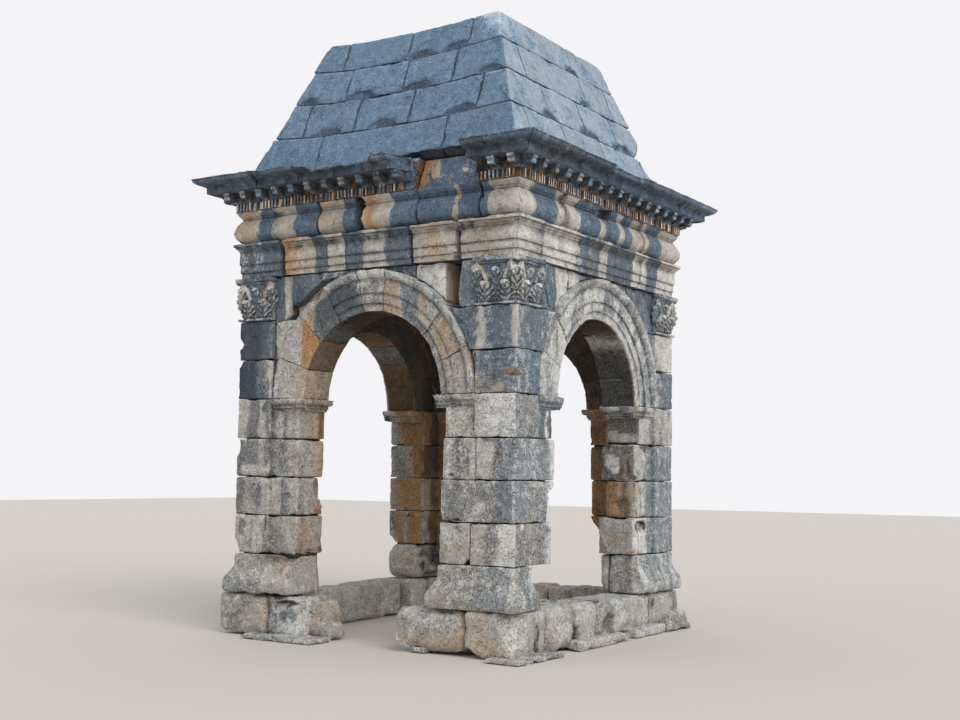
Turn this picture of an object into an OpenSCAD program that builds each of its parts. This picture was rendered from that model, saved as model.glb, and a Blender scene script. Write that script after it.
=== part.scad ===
// Four-sided arched stone monument with corner pilasters, a full entablature
// and the lower courses of a pyramid roof. Millimetres, Z up, origin on the
// ground at the middle of the plan. The front looks along -Y.

/* [Plan] */
// Width of each corner pilaster
pilaster_w = 530; // [450:10:580]
// Clear radius of the four arches
arch_r = 990; // [850:10:1080]
// Radial width of the moulded ring round each arch
archivolt_w = 480; // [420:10:520]
// Distance from the pilaster faces back to the wall faces
wall_set = 50; // [30:5:70]
// Distance the pier ends stand back from the clear radius
jamb_set = 60; // [30:5:90]

/* [Pier heights] */
// Height of the footing stones above the ground
footing_h = 500; // [400:10:600]
// Height of the flared pier bases
base_h = 480; // [400:10:560]
// Height of each plain course of a pier
course_h = 460; // [400:10:520]
// Number of plain courses in each pier
course_count = 3; // [2:1:4]
// Height of the impost course at the top of each pier
impost_h = 480; // [400:10:560]
// Height of each of the two pilaster courses beside the arch
shaft_h = 481; // [420:1:520]
// Height from the crown of the arch ring up to the architrave
crown_cover = 23; // [15:1:50]

/* [Footings and sills] */
// How far the footing stones stand out from the pilaster faces
footing_out = 60; // [30:5:90]
// How far the stone at the front left corner stands out on its left side
footing_left_out = 190; // [60:5:220]
// How far the left footing stones reach into the front opening
reach_left = 296; // [150:2:400]
// How far the right footing stones reach into the front opening
reach_right = 528; // [300:2:600]
// How far the long stone under the back right pier reaches into the right opening
reach_long = 1124; // [900:2:1300]
// Distance from the inner wall faces out to the joints beside the corner stones
footing_split = 60; // [20:5:100]
// Chamfer on the worn edges of footing and sill stones
worn_edge = 60; // [20:5:90]
// Thickness of the sill walls between the piers
sill_t = 420; // [300:10:480]
// Dry joint between footing and sill stones
rubble_joint = 0.6; // [0.4:0.1:0.9]

/* [Pier mouldings] */
// How far the pier bases flare out at the foot
base_flare = 95; // [60:5:110]
// Height of the plain foot of the pier bases
base_foot = 90; // [60:5:120]
// Height of the sloping part of the pier bases
base_slope = 170; // [120:5:200]
// Height of the recessed joint at the foot of each course
joint_h = 8; // [4:1:14]
// Depth of the recessed joints
joint_in = 10; // [6:1:14]
// Height of the impost slab
impost_slab = 82; // [60:2:100]
// Height of the step under the impost slab
impost_step = 70; // [50:2:90]
// How far the impost slab reaches past the clear radius into the opening
impost_out = 75; // [50:5:100]

/* [Arch rings] */
// Number of wedge stones in each arch
voussoir_count = 9; // [7:2:13]
// Width of the joints between wedge stones at the clear radius
voussoir_joint = 0.6; // [0.4:0.1:0.9]
// Radial width of the innermost flat band
band_1 = 94; // [80:2:110]
// Radial width of the second flat band
band_2 = 116; // [100:2:130]
// Radial width of the hood moulding
hood_w = 100; // [80:2:120]
// How far each band steps out from the last
band_step = 12; // [8:1:16]
// How far the hood moulding stands out from the outer band
hood_out = 30; // [20:1:40]

/* [Capitals] */
// Height of the ring under each capital
astragal_h = 30; // [20:1:40]
// How far the ring stands out
astragal_out = 22; // [15:1:30]
// Height of the abacus slab
abacus_h = 78; // [60:1:95]
// How far the abacus stands out over the pilaster faces
abacus_out = 60; // [40:2:80]
// How far the abacus reaches past the pilaster towards the arch
abacus_side = 100; // [70:5:120]

/* [Entablature] */
// Height of the lowest flat band of the architrave
fascia_1 = 70; // [55:1:85]
// Height of the middle flat band of the architrave
fascia_2 = 100; // [85:1:115]
// Height of the top flat band of the architrave
fascia_3 = 165; // [140:1:185]
// How far each flat band steps out from the one below
fascia_step = 10; // [6:1:14]
// Height of the crown moulding of the architrave
crown_h = 100; // [80:1:120]
// How far the crown moulding stands out from the pilaster faces
crown_out = 86; // [70:1:100]
// Height of the frieze
frieze_h = 308; // [260:1:340]
// How far the frieze bulges out
frieze_bulge = 80; // [50:1:95]
// Height of the bed moulding
bed_h = 94; // [75:1:110]
// How far the bed moulding stands out from the pilaster faces
bed_out = 45; // [30:1:60]
// Height of the row of dentils
dentil_h = 90; // [70:1:105]
// How far the dentils stand out past the bed moulding
dentil_reach = 60; // [45:1:75]
// Depth of the gaps between dentils
dentil_gap_in = 38; // [25:1:44]
// Number of dentils from one modillion to the next
dentils_each = 5; // [3:1:6]
// Height of the modillions
modillion_h = 122; // [100:1:140]
// Width of each modillion
modillion_w = 96; // [80:1:110]
// How far the modillions stand out past the dentils
modillion_reach = 157; // [120:1:180]
// Number of modillions on each side, corners included
modillion_count = 17; // [13:2:19]
// Height of the flat face over the modillions
corona_h = 76; // [60:1:90]
// How far that face stands out past the modillions
corona_lip = 68; // [45:1:85]
// Height of the top moulding
sima_h = 111; // [90:1:130]
// How far the top moulding stands out past the flat face
sima_reach = 135; // [100:1:150]
// Nose of each modillion's slab, past its bracket
modillion_nose = 20; // [10:1:30]
// Height of the fillet on the top moulding
sima_fillet = 22; // [15:1:30]

/* [Breaks in the masonry] */
// Left end of the missing stretch, from the middle of the front
gap_from = 794; // [600:5:900]
// Length of the missing stretch
gap_length = 730; // [500:5:800]
// How far the broken face lies behind the pilaster faces
gap_depth = 150; // [80:5:250]
// Left end of the stretch of the front top moulding that is worn to half its height
worn_from = -1370; // [-1500:5:-1200]
// Left end of the stretch where it is gone
gone_from = -680; // [-800:5:-500]
// Left end of the chipped stretch of the right top moulding
chip_from = -532; // [-600:2:-400]
// Length of that stretch
chip_length = 806; // [600:2:900]
// How much of the top moulding's reach is left there
chip_left = 45; // [30:1:70]
// Left end of the hole in the right spandrel of the front
hole_from = 1042; // [1030:1:1060]
// Width of that hole
hole_w = 193; // [150:1:220]
// Height of that hole, down from the architrave
hole_h = 358; // [280:2:360]
// Depth of that hole into the wall
hole_depth = 300; // [200:5:350]
// Size of the hollow in the near corner, along the front and along the right side
nick_w = 150; // [100:5:200]
nick_reach = 117; // [80:1:160]
// Height of that hollow
nick_h = 60; // [40:1:80]
// Distance from the springing up to that hollow
nick_up = 190; // [150:5:250]

/* [Roof] */
// How far the foot of the roof stands behind the pilaster faces
roof_set = 31; // [10:1:60]
// Slope of the roof faces from the vertical
roof_slope = 21; // [17:1:24]
// Height of the first roof course
roof_h1 = 560; // [480:5:600]
// Height of the second roof course
roof_h2 = 454; // [400:2:500]
// Height of the third roof course
roof_h3 = 439; // [400:1:480]
// Height of the top roof course
roof_h4 = 382; // [340:1:420]
// Depth of the roof stones into the roof
roof_t = 480; // [420:5:520]
// Width of the joints between roof stones
roof_joint = 8; // [3:1:12]
// Thickness of the slabs that close the top
cap_t = 180; // [120:5:220]
// How far the slabs bear on the top course
cap_seat = 120; // [80:5:150]
// Number of slabs that close the top
cap_count = 3; // [2:1:4]

/* [Hidden] */

// Half widths of the plan, from the middle outwards
face = arch_r + archivolt_w + pilaster_w;
wall_out = face - wall_set;
wall_in = face - pilaster_w;
wall_t = wall_out - wall_in;
jamb = arch_r + jamb_set;
far = face + 900;

// Levels above the ground
base_z = footing_h;
pier_z = base_z + base_h;
spring_z = pier_z + course_count * course_h + impost_h;
capital_z = spring_z + 2 * shaft_h;
architrave_z = spring_z + arch_r + archivolt_w + crown_cover;
capital_h = architrave_z - capital_z;
architrave_h = fascia_1 + fascia_2 + fascia_3 + crown_h;
frieze_z = architrave_z + architrave_h;
bed_z = frieze_z + frieze_h;
dentil_z = bed_z + bed_h;
modillion_z = dentil_z + dentil_h;
corona_z = modillion_z + modillion_h;
sima_z = corona_z + corona_h;
roof_z = sima_z + sima_h;

// Half widths of the cornice members
dentil_face = face + bed_out + dentil_reach;
modillion_face = dentil_face + modillion_reach;
corona_face = modillion_face + corona_lip;
sima_face = corona_face + sima_reach;
modillion_pitch = (2 * dentil_face - modillion_w) / (modillion_count - 1);
dentil_pitch = modillion_pitch / dentils_each;
dentil_w = dentil_pitch * 0.62;

// Roof courses, from the foot to the top
roof_heights = [roof_h1, roof_h2, roof_h3, roof_h4];
function roof_level(n) = n == 0 ? roof_z : roof_level(n - 1) + roof_heights[n - 1];
function roof_half(z) = face - roof_set - (z - roof_z) * tan(roof_slope);

curve_steps = 6;
arc_fn = 96;
cut = 1;
sill_stagger = 20;
sill_drop = 12;
core = 120;
key_root = 40;

stone_warm = "#b9ad98";
stone_grey = "#8d8c88";
stone_dark = "#6f747a";
stone_roof = "#8496a6";

// Turns a piece drawn at the back right corner to another corner
module at_corner(turns) {
    rotate([0, 0, 90 * turns]) children();
}

// Turns a piece drawn on the front to another side
module on_side(turns) {
    rotate([0, 0, 90 * turns]) children();
}

// Block with every edge cut off by the same chamfer
module worn_block(from, to, chamfer) {
    size = to - from;
    translate(from) intersection() {
        linear_extrude(size[2]) chamfered(size[0], size[1], chamfer);
        translate([0, size[1], 0]) rotate([90, 0, 0])
            linear_extrude(size[1]) chamfered(size[0], size[2], chamfer * 0.7);
        rotate([90, 0, 90]) linear_extrude(size[0]) chamfered(size[1], size[2], chamfer * 0.7);
    }
}

module chamfered(w, h, c) {
    polygon([
        [c, 0], [w - c, 0], [w, c], [w, h - c],
        [w - c, h], [c, h], [0, h - c], [0, c]
    ]);
}

// Box whose sides may spread towards the foot: spread is for -X, +X, -Y, +Y
module flared_block(from, to, spread) {
    height = to[2] - from[2];
    intersection() {
        translate([0, to[1] + spread[3], from[2]]) rotate([90, 0, 0])
            linear_extrude(to[1] - from[1] + spread[2] + spread[3])
                flare_outline(from[0], to[0], height, spread[0], spread[1]);
        translate([from[0] - spread[0], 0, from[2]]) rotate([90, 0, 90])
            linear_extrude(to[0] - from[0] + spread[0] + spread[1])
                flare_outline(from[1], to[1], height, spread[2], spread[3]);
    }
}

// Upright sides at the top, a hollow slope, then an upright foot
module flare_outline(a, b, height, out_a, out_b) {
    slope = [for (i = [0 : curve_steps])
        let (t = i / curve_steps) [pow(1 - t, 2), base_foot + base_slope * t]];
    polygon(concat(
        [[b + out_b, 0]],
        [for (p = slope) [b + out_b * p[0], p[1]]],
        [[b, height], [a, height]],
        [for (i = [curve_steps : -1 : 0]) [a - out_a * slope[i][0], slope[i][1]]],
        [[a - out_a, 0]]
    ));
}

// Footings: the corner stone and a stone under each wall leg. The reaches run
// into the openings, and out_x is how far the corner stone stands out along X
module footing(reach_x, reach_y, out_x = footing_out) {
    out = face + footing_out;
    split = wall_in - footing_split;
    worn_block([split + rubble_joint, split + rubble_joint, 0], [face + out_x, out, footing_h], worn_edge);
    worn_block([arch_r - reach_x, wall_in, 0], [split, out, footing_h], worn_edge);
    worn_block([wall_in, arch_r - reach_y, 0], [out, split, footing_h], worn_edge);
}

// Sill wall of a few stones between two footings, drawn on the front
module sill_wall(count, reach_to) {
    out = face + footing_out;
    from = -arch_r + rubble_joint;
    to = arch_r - reach_to - rubble_joint;
    pitch = (to - from) / count;
    for (i = [0 : count - 1])
        worn_block(
            [from + i * pitch, -out + sill_stagger * (i % 2), 0],
            [from + (i + 1) * pitch - rubble_joint, -out + sill_t, footing_h - sill_drop * (i % 3)],
            worn_edge * 0.7
        );
}

// Flared base of one pier, at the back right corner. One leg of it may be lost
module pier_base(both_legs = true) {
    if (both_legs) flared_block(
        [jamb, wall_in, base_z], [face - cut, wall_out, pier_z],
        [base_flare, 0, 0, base_flare]
    );
    flared_block(
        [wall_in, jamb, base_z], [wall_out, face - cut, pier_z],
        [0, base_flare, base_flare, 0]
    );
    flared_block(
        [wall_in, wall_in, base_z], [face, face, pier_z],
        [0, base_flare, 0, base_flare]
    );
}

// Plan of a pier: two wall legs and the pilaster corner, pulled in all round
module pier_plan(inset) {
    translate([jamb + inset, wall_in + inset])
        square([wall_out - jamb - 2 * inset, wall_t - 2 * inset]);
    translate([wall_in + inset, jamb + inset])
        square([wall_t - 2 * inset, wall_out - jamb - 2 * inset]);
    translate([wall_in + inset, wall_in + inset]) square(pilaster_w - 2 * inset);
}

module pier_course(z, height) {
    translate([0, 0, z + joint_h]) linear_extrude(height - joint_h) pier_plan(0);
    translate([0, 0, z]) linear_extrude(joint_h + cut) pier_plan(joint_in);
}

// Impost moulding round the opening end of one wall leg
module impost_moulding() {
    slab_z = spring_z - impost_slab;
    step_z = slab_z - impost_step;
    translate([arch_r - impost_out, wall_in, slab_z])
        cube([wall_in - arch_r + impost_out + cut, face - wall_in, impost_slab]);
    translate([arch_r, wall_in, step_z])
        cube([wall_in - arch_r + cut, wall_t + wall_set / 2, impost_step + cut]);
}

module pier() {
    for (i = [0 : course_count - 1]) pier_course(pier_z + i * course_h, course_h);
    pier_course(spring_z - impost_h, impost_h);
    impost_moulding();
    mirror([1, -1, 0]) impost_moulding();
}

// Broken end of the second course in the right leg of the near pier, as seen
// from the right: a lip is left under its top edge
module broken_end() {
    low = pier_z + course_h;
    lip = low + course_h - 100;
    end = -jamb - 300;
    rotate([90, 0, 90]) linear_extrude(far) polygon([
        [end, low + joint_h], [end + 50, lip - 60], [end + 200, lip],
        [0, lip], [0, low + joint_h]
    ]);
}

// Outline of the arch ring and of its closing stone, in the wall's plane
module ring_outline(radius) {
    translate([0, spring_z]) circle(r = radius, $fn = arc_fn);
}

voussoir_angle = 180 / voussoir_count;
joint_angle = voussoir_joint / arch_r * 180 / PI;
extrados = arch_r + archivolt_w;

module key_outline(grow) {
    half = voussoir_angle / 2;
    low = (extrados - key_root) * cos(half);
    high = extrados + crown_cover;
    polygon([
        [low * tan(half) + grow, spring_z + low], [high * tan(half) + grow, spring_z + high],
        [-high * tan(half) - grow, spring_z + high], [-low * tan(half) - grow, spring_z + low]
    ]);
}

// Wall above the arch on one side of the pilaster, drawn on the front
module spandrel() {
    rotate([90, 0, 0]) translate([0, 0, wall_in]) linear_extrude(wall_t)
        difference() {
            translate([0, spring_z]) square([wall_in, architrave_z - spring_z]);
            ring_outline(extrados + voussoir_joint);
            key_outline(voussoir_joint);
        }
}

// Masonry of one corner from the springing to the architrave
module shaft() {
    for (i = [0, 1]) {
        translate([wall_in, wall_in, spring_z + i * shaft_h + joint_h])
            cube([pilaster_w, pilaster_w, shaft_h - joint_h]);
        translate([wall_in, wall_in, spring_z + i * shaft_h])
            cube([pilaster_w - joint_in, pilaster_w - joint_in, joint_h + cut]);
    }
    mirror([0, 1, 0]) spandrel();
    mirror([1, -1, 0]) mirror([0, 1, 0]) spandrel();
    translate([wall_in, wall_in, capital_z]) cube([core, core, capital_h]);
}

// Hole left by a lost stone in the right spandrel of the front
module spandrel_hole() {
    translate([hole_from, -wall_out - cut, architrave_z - hole_h])
        cube([hole_w, hole_depth + cut, hole_h + cut]);
}

// Hollow broken out of the near corner, over the springing
module corner_hollow() {
    translate([face - nick_w, -face - cut, spring_z + nick_up])
        cube([nick_w + cut, nick_reach + cut, nick_h]);
}

// Plan of a capital: the corner block and the parts in front of both walls
module capital_plan(out, side) {
    low = wall_in - side;
    high = face + out;
    polygon([
        [wall_in + core, wall_in], [wall_out, wall_in], [wall_out, low], [high, low],
        [high, high], [low, high], [low, wall_out], [wall_in, wall_out],
        [wall_in, wall_in + core], [wall_in + core, wall_in + core]
    ]);
}

bell_h = capital_h - astragal_h - abacus_h;

// Side view of the bell, spreading in a hollow curve towards the abacus
module bell_outline() {
    flare = [for (i = [0 : curve_steps])
        let (t = i / curve_steps) [0.85 * pow(t, 3), bell_h * t]];
    polygon(concat(
        [for (p = flare) [face + abacus_out * p[0], p[1]]],
        [for (i = [curve_steps : -1 : 0]) [wall_in - abacus_side * flare[i][0], flare[i][1]]]
    ));
}

module capital() {
    translate([0, 0, capital_z]) linear_extrude(astragal_h) capital_plan(astragal_out, astragal_out);
    translate([0, 0, capital_z + astragal_h - cut]) intersection() {
        linear_extrude(bell_h + 2 * cut) capital_plan(abacus_out, abacus_side);
        translate([0, far, cut]) rotate([90, 0, 0]) linear_extrude(far) bell_outline();
        translate([0, 0, cut]) rotate([90, 0, 90]) linear_extrude(far) bell_outline();
    }
    translate([0, 0, architrave_z - abacus_h]) linear_extrude(abacus_h)
        capital_plan(abacus_out, abacus_side);
}

// Section of the arch ring: radius across, depth from the middle of the plan up.
// A worn stone has lost its hood and the steps of its bands
module voussoir_section(worn) {
    inner = wall_out + band_step;
    middle = inner + band_step;
    outer = middle + band_step;
    hood_r = extrados - hood_w;
    hood = [
        [extrados, outer + hood_out], [extrados - hood_w * 0.35, outer + hood_out],
        [extrados - hood_w * 0.6, outer + hood_out * 0.7], [hood_r, outer + hood_out * 0.2],
        [hood_r, outer]
    ];
    bands = [
        [arch_r + band_1 + band_2, outer], [arch_r + band_1 + band_2, middle],
        [arch_r + band_1, middle], [arch_r + band_1, inner], [arch_r, inner]
    ];
    worn_face = [[extrados, wall_out], [hood_r, middle], [arch_r, inner]];
    polygon(concat(
        [[arch_r, wall_in], [extrados, wall_in]],
        worn ? worn_face : concat(hood, bands)
    ));
}

// Arch of separate wedge stones, drawn on the front. Stones from first_worn on,
// counted from the right, are worn
module arch_ring(first_worn) {
    translate([0, 0, spring_z]) rotate([90, 0, 0])
        for (i = [0 : voussoir_count - 1])
            rotate([0, 0, i * voussoir_angle + joint_angle / 2])
                rotate_extrude(angle = voussoir_angle - joint_angle, $fn = arc_fn)
                    voussoir_section(i >= first_worn);
}

module arch(first_worn = voussoir_count) {
    arch_ring(first_worn);
    rotate([90, 0, 0]) translate([0, 0, wall_in]) linear_extrude(wall_t) difference() {
        key_outline(0);
        ring_outline(extrados - 1);
    }
}

// Carries a profile of [depth, height] points along the front from one place to
// another, mitred where it comes to a corner
module mitred_run(from, to, height) {
    intersection() {
        translate([from, 0, 0]) rotate([90, 0, 90]) linear_extrude(to - from)
            mirror([1, 0]) children();
        translate([0, 0, -cut]) linear_extrude(height + 2 * cut)
            polygon([[0, 0], [far, -far], [-far, -far]]);
    }
}

// Blocks of one course: joints holds the place and width of each joint, and
// sets holds how far each block has come out of the wall
module block_course(joints, sets, height) {
    last = len(joints);
    for (i = [0 : last]) {
        from = i == 0 ? -far : joints[i - 1][0] + joints[i - 1][1] / 2;
        to = i == last ? far : joints[i][0] - joints[i][1] / 2;
        translate([0, -sets[i], 0]) mitred_run(from, to, height) children();
    }
}

module architrave_profile() {
    a = face;
    b = a + fascia_step;
    c = b + fascia_step;
    top = architrave_h;
    polygon([
        [wall_in, 0], [a, 0], [a, fascia_1], [b, fascia_1], [b, fascia_1 + fascia_2],
        [c, fascia_1 + fascia_2], [c, top - crown_h],
        [c + (face + crown_out - c) * 0.3, top - crown_h + 12],
        [c + (face + crown_out - c) * 0.8, top - crown_h * 0.45],
        [face + crown_out, top - crown_h * 0.4],
        [face + crown_out, top], [wall_in, top]
    ]);
}

module architrave(joints, sets) {
    translate([0, 0, architrave_z]) block_course(joints, sets, architrave_h) architrave_profile();
}

// Bulging frieze with the bed moulding cut on the same blocks
module frieze_profile() {
    polygon(concat(
        [[wall_in, 0]],
        [for (i = [0 : 2 * curve_steps])
            let (t = i / (2 * curve_steps))
            [face + frieze_bulge * sin(180 * pow(t, 0.85)), frieze_h * t]],
        [for (i = [0 : curve_steps])
            let (t = i / curve_steps)
            [face + bed_out * (0.1 + 0.9 * sin(90 * t)), frieze_h + bed_h * t]],
        [[wall_in, frieze_h + bed_h]]
    ));
}

module frieze(joints, sets) {
    translate([0, 0, frieze_z]) block_course(joints, sets, frieze_h + bed_h) frieze_profile();
}

// Flat band with its ends mitred, drawn on the front
module band(depth, z, height) {
    translate([0, 0, z]) linear_extrude(height)
        polygon([[-wall_in, -wall_in], [-depth, -depth], [depth, -depth], [wall_in, -wall_in]]);
}

// Row of dentils cut as one comb
module dentil_row() {
    back = dentil_face - dentil_gap_in;
    count = floor((back - dentil_w) / dentil_pitch);
    comb = [for (i = [-count : count]) let (x = i * dentil_pitch) [
        [x - dentil_w / 2, -back], [x - dentil_w / 2, -dentil_face],
        [x + dentil_w / 2, -dentil_face], [x + dentil_w / 2, -back]
    ]];
    translate([0, 0, dentil_z]) linear_extrude(dentil_h) polygon(concat(
        [[-wall_in, -wall_in], [-back, -back]],
        [for (tooth = comb) each tooth],
        [[back, -back], [wall_in, -wall_in]]
    ));
}

// Side view of a modillion: an S-shaped bracket under a thin slab
module modillion_outline() {
    slab = modillion_h * 0.28;
    drop = modillion_h - slab;
    lower = [for (i = [0 : curve_steps])
        let (t = i / curve_steps)
        [dentil_face + (modillion_reach - modillion_nose) * t,
            drop * (0.55 * t + 0.12 * sin(360 * t))]];
    polygon(concat(
        [[dentil_face - cut, 0]], lower,
        [[modillion_face - modillion_nose, drop], [modillion_face, drop],
        [modillion_face, modillion_h],
        [dentil_face - cut, modillion_h]]
    ));
}

module modillions() {
    for (i = [0 : modillion_count - 1])
        translate([-dentil_face + i * modillion_pitch, 0, modillion_z]) rotate([90, 0, 90])
            linear_extrude(modillion_w) mirror([1, 0]) modillion_outline();
}

module sima_profile() {
    polygon(concat(
        [[wall_in, 0]],
        [for (i = [0 : 2 * curve_steps])
            let (t = i / (2 * curve_steps))
            [corona_face + sima_reach * (t - 0.14 * sin(360 * t)), (sima_h - sima_fillet) * t]],
        [[sima_face, sima_h], [wall_in, sima_h]]
    ));
}

// Cornice from the dentils up, cut into blocks at the joints
module cornice(joints) {
    difference() {
        union() {
            dentil_row();
            band(dentil_face, modillion_z, modillion_h);
            modillions();
            band(corona_face, corona_z, corona_h);
            translate([0, 0, sima_z]) mitred_run(-far, far, sima_h) sima_profile();
        }
        for (joint = joints)
            translate([joint[0] - joint[1] / 2, -far, dentil_z - cut])
                cube([joint[1], far, roof_z - dentil_z + 2 * cut]);
    }
}

// Cornice of the front: a stretch has fallen away, and left of it the top
// moulding is worn down and then gone as far in as the foot of the roof
module broken_cornice(joints) {
    foot = face - roof_set;
    difference() {
        cornice(joints);
        translate([gap_from, -far, dentil_z - cut])
            cube([gap_length, far - face + gap_depth, roof_z - dentil_z + 2 * cut]);
        translate([worn_from, -far, sima_z + sima_h / 2])
            cube([gone_from - worn_from, far - foot, sima_h]);
        translate([gone_from - cut, -far, sima_z])
            cube([gap_from - gone_from + 2 * cut, far - foot, sima_h + cut]);
    }
}

// Cornice of the right side, with part of its top moulding chipped off
module chipped_cornice(joints) {
    difference() {
        cornice(joints);
        translate([chip_from, -far, sima_z])
            cube([chip_length, far - corona_face - chip_left, sima_h + cut]);
    }
}

// One ring of roof stones: sloping outside, upright inside
module roof_ring(n) {
    z = roof_level(n);
    height = roof_heights[n];
    low = roof_half(z);
    high = roof_half(z + height);
    translate([0, 0, z]) intersection() {
        translate([0, far, 0]) rotate([90, 0, 0]) linear_extrude(2 * far)
            polygon([[-low, 0], [low, 0], [high, height], [-high, height]]);
        translate([-far, 0, 0]) rotate([90, 0, 90]) linear_extrude(2 * far)
            polygon([[-low, 0], [low, 0], [high, height], [-high, height]]);
    }
}

// Joints of a course: long_joints are those of the two runs that hold the corner
// stones, which are the front and back runs of every other course, and
// short_joints those of the two runs between them
module roof_joints(n, long_joints, short_joints) {
    z = roof_level(n);
    inner = roof_half(z) - roof_t;
    odd = n % 2;
    ends = inner - roof_joint / 2;
    for (turn = [odd, odd + 2]) rotate([0, 0, 90 * turn])
        for (x = long_joints) roof_slot(n, x, inner);
    for (turn = [odd + 1, odd + 3]) rotate([0, 0, 90 * turn])
        for (x = concat([-ends], short_joints, [ends])) roof_slot(n, x, inner);
}

module roof_slot(n, x, inner) {
    translate([x - roof_joint / 2, -far, roof_level(n) - cut])
        cube([roof_joint, far - inner + cut, roof_heights[n] + 2 * cut]);
}

module roof_course(n, long_joints, short_joints) {
    z = roof_level(n);
    inner = roof_half(z) - roof_t;
    difference() {
        roof_ring(n);
        translate([-inner, -inner, z - cut]) cube([2 * inner, 2 * inner, roof_heights[n] + 2 * cut]);
        if (n == 3) translate([-cap_half, -cap_half, cap_z])
            cube([2 * cap_half, 2 * cap_half, cap_t + cut]);
        roof_joints(n, long_joints, short_joints);
    }
}

// Part broken off the back right corner, from the first course into the second:
// places along the right side and heights over the joint between them
module roof_break(n) {
    level = roof_level(1);
    from = roof_half(roof_level(n)) - roof_t;
    translate([from + cut, 0, level]) rotate([90, 0, 90]) linear_extrude(far) polygon([
        [far, -roof_h1 * 0.75], [face - 420, -roof_h1 * 0.5], [face - 640, -roof_h1 * 0.2],
        [face - 700, -cut], [face - 700, cut], [face - 400, roof_h2 * 0.38],
        [face - 270, roof_h2 * 0.8], [far, roof_h2 * 0.8]
    ]);
}

cap_z = roof_level(4) - cap_t;
cap_half = roof_half(roof_level(3)) - roof_t + cap_seat;

// Slabs laid side by side in the rebate of the top course
module roof_cap() {
    pitch = 2 * cap_half / cap_count;
    color(stone_roof)
    for (i = [0 : cap_count - 1])
        translate([-cap_half + i * pitch + roof_joint / 2, -cap_half + roof_joint / 2, cap_z])
            cube([pitch - roof_joint, 2 * cap_half - roof_joint, cap_t]);
}

module front_left_footing() { color(stone_warm) at_corner(2) footing(reach_left, 0, footing_left_out); }
module front_right_footing() { color(stone_warm) at_corner(3) footing(0, reach_right); }
module back_right_footing() { color(stone_warm) at_corner(0) footing(0, reach_long); }
module back_left_footing() { color(stone_warm) at_corner(1) footing(0, 0); }

module right_sill_wall() { color(stone_warm) on_side(1) sill_wall(2, reach_long); }
module back_sill_wall() { color(stone_warm) on_side(2) sill_wall(3, 0); }
module left_sill_wall() { color(stone_warm) on_side(3) sill_wall(4, 0); }

module front_left_base() { color(stone_warm) at_corner(2) pier_base(); }
module front_right_base() { color(stone_warm) at_corner(3) pier_base(false); }
module back_right_base() { color(stone_warm) at_corner(0) pier_base(); }
module back_left_base() { color(stone_warm) at_corner(1) pier_base(); }

module front_left_pier() { color(stone_warm) at_corner(2) pier(); }
module front_right_pier() {
    color(stone_warm) difference() {
        at_corner(3) pier();
        broken_end();
    }
}
module back_right_pier() { color(stone_warm) at_corner(0) pier(); }
module back_left_pier() { color(stone_warm) at_corner(1) pier(); }

module front_left_shaft() { color(stone_grey) at_corner(2) shaft(); }
module front_right_shaft() {
    color(stone_grey) difference() {
        at_corner(3) shaft();
        spandrel_hole();
        corner_hollow();
    }
}
module back_right_shaft() { color(stone_grey) at_corner(0) shaft(); }
module back_left_shaft() { color(stone_grey) at_corner(1) shaft(); }

module front_left_capital() { color(stone_grey) at_corner(2) capital(); }
module front_right_capital() { color(stone_grey) at_corner(3) capital(); }
module back_right_capital() { color(stone_grey) at_corner(0) capital(); }
module back_left_capital() { color(stone_grey) at_corner(1) capital(); }

module front_arch() { color(stone_warm) on_side(0) arch(voussoir_count - 3); }
module right_arch() { color(stone_warm) on_side(1) arch(voussoir_count - 4); }
module back_arch() { color(stone_warm) on_side(2) arch(); }
module left_arch() { color(stone_warm) on_side(3) arch(); }

// Joints of the blocks as [place along the side, width], and how far each block
// has come out of the wall
front_architrave_joints = [[-1318, 70], [-356, 8], [602, 45], [1240, 66]];
right_architrave_joints = [[-402, 8], [295, 8]];
plain_architrave_joints = [[-1250, 8], [-400, 8], [350, 8], [1250, 8]];
front_frieze_joints = [[-1466, 10], [-740, 34], [-127, 130], [702, 10], [1550, 28]];
front_frieze_sets = [0, 14, 6, 24, -4, 0];
right_frieze_joints = [[-1030, 96], [-212, 8], [101, 8], [424, 8], [999, 8], [1494, 8]];
right_frieze_sets = [0, 10, -12, 12, 4, 10, 0];
plain_frieze_joints = [[-1490, 8], [-620, 8], [240, 8], [1490, 8]];
front_cornice_joints = [
    [-1500, 6], [-840, 6], [-300, 6], [gap_from - 4, 8], [gap_from + gap_length + 4, 8]
];
right_cornice_joints = [[-490, 8], [180, 8], [1518, 8]];
plain_cornice_joints = [[-1500, 8], [-490, 8], [400, 8], [1500, 8]];
unmoved = [0, 0, 0, 0, 0, 0];

module front_architrave() {
    color(stone_grey) on_side(0) architrave(front_architrave_joints, unmoved);
}
module right_architrave() {
    color(stone_grey) on_side(1) architrave(right_architrave_joints, unmoved);
}
module back_architrave() {
    color(stone_grey) on_side(2) architrave(plain_architrave_joints, unmoved);
}
module left_architrave() {
    color(stone_grey) on_side(3) architrave(plain_architrave_joints, unmoved);
}

module front_frieze() { color(stone_dark) on_side(0) frieze(front_frieze_joints, front_frieze_sets); }
module right_frieze() { color(stone_dark) on_side(1) frieze(right_frieze_joints, right_frieze_sets); }
module back_frieze() { color(stone_dark) on_side(2) frieze(plain_frieze_joints, unmoved); }
module left_frieze() { color(stone_dark) on_side(3) frieze(plain_frieze_joints, unmoved); }

module front_cornice() { color(stone_dark) on_side(0) broken_cornice(front_cornice_joints); }
module right_cornice() { color(stone_dark) on_side(1) chipped_cornice(right_cornice_joints); }
module back_cornice() { color(stone_dark) on_side(2) cornice(plain_cornice_joints); }
module left_cornice() { color(stone_dark) on_side(3) cornice(plain_cornice_joints); }

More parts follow.
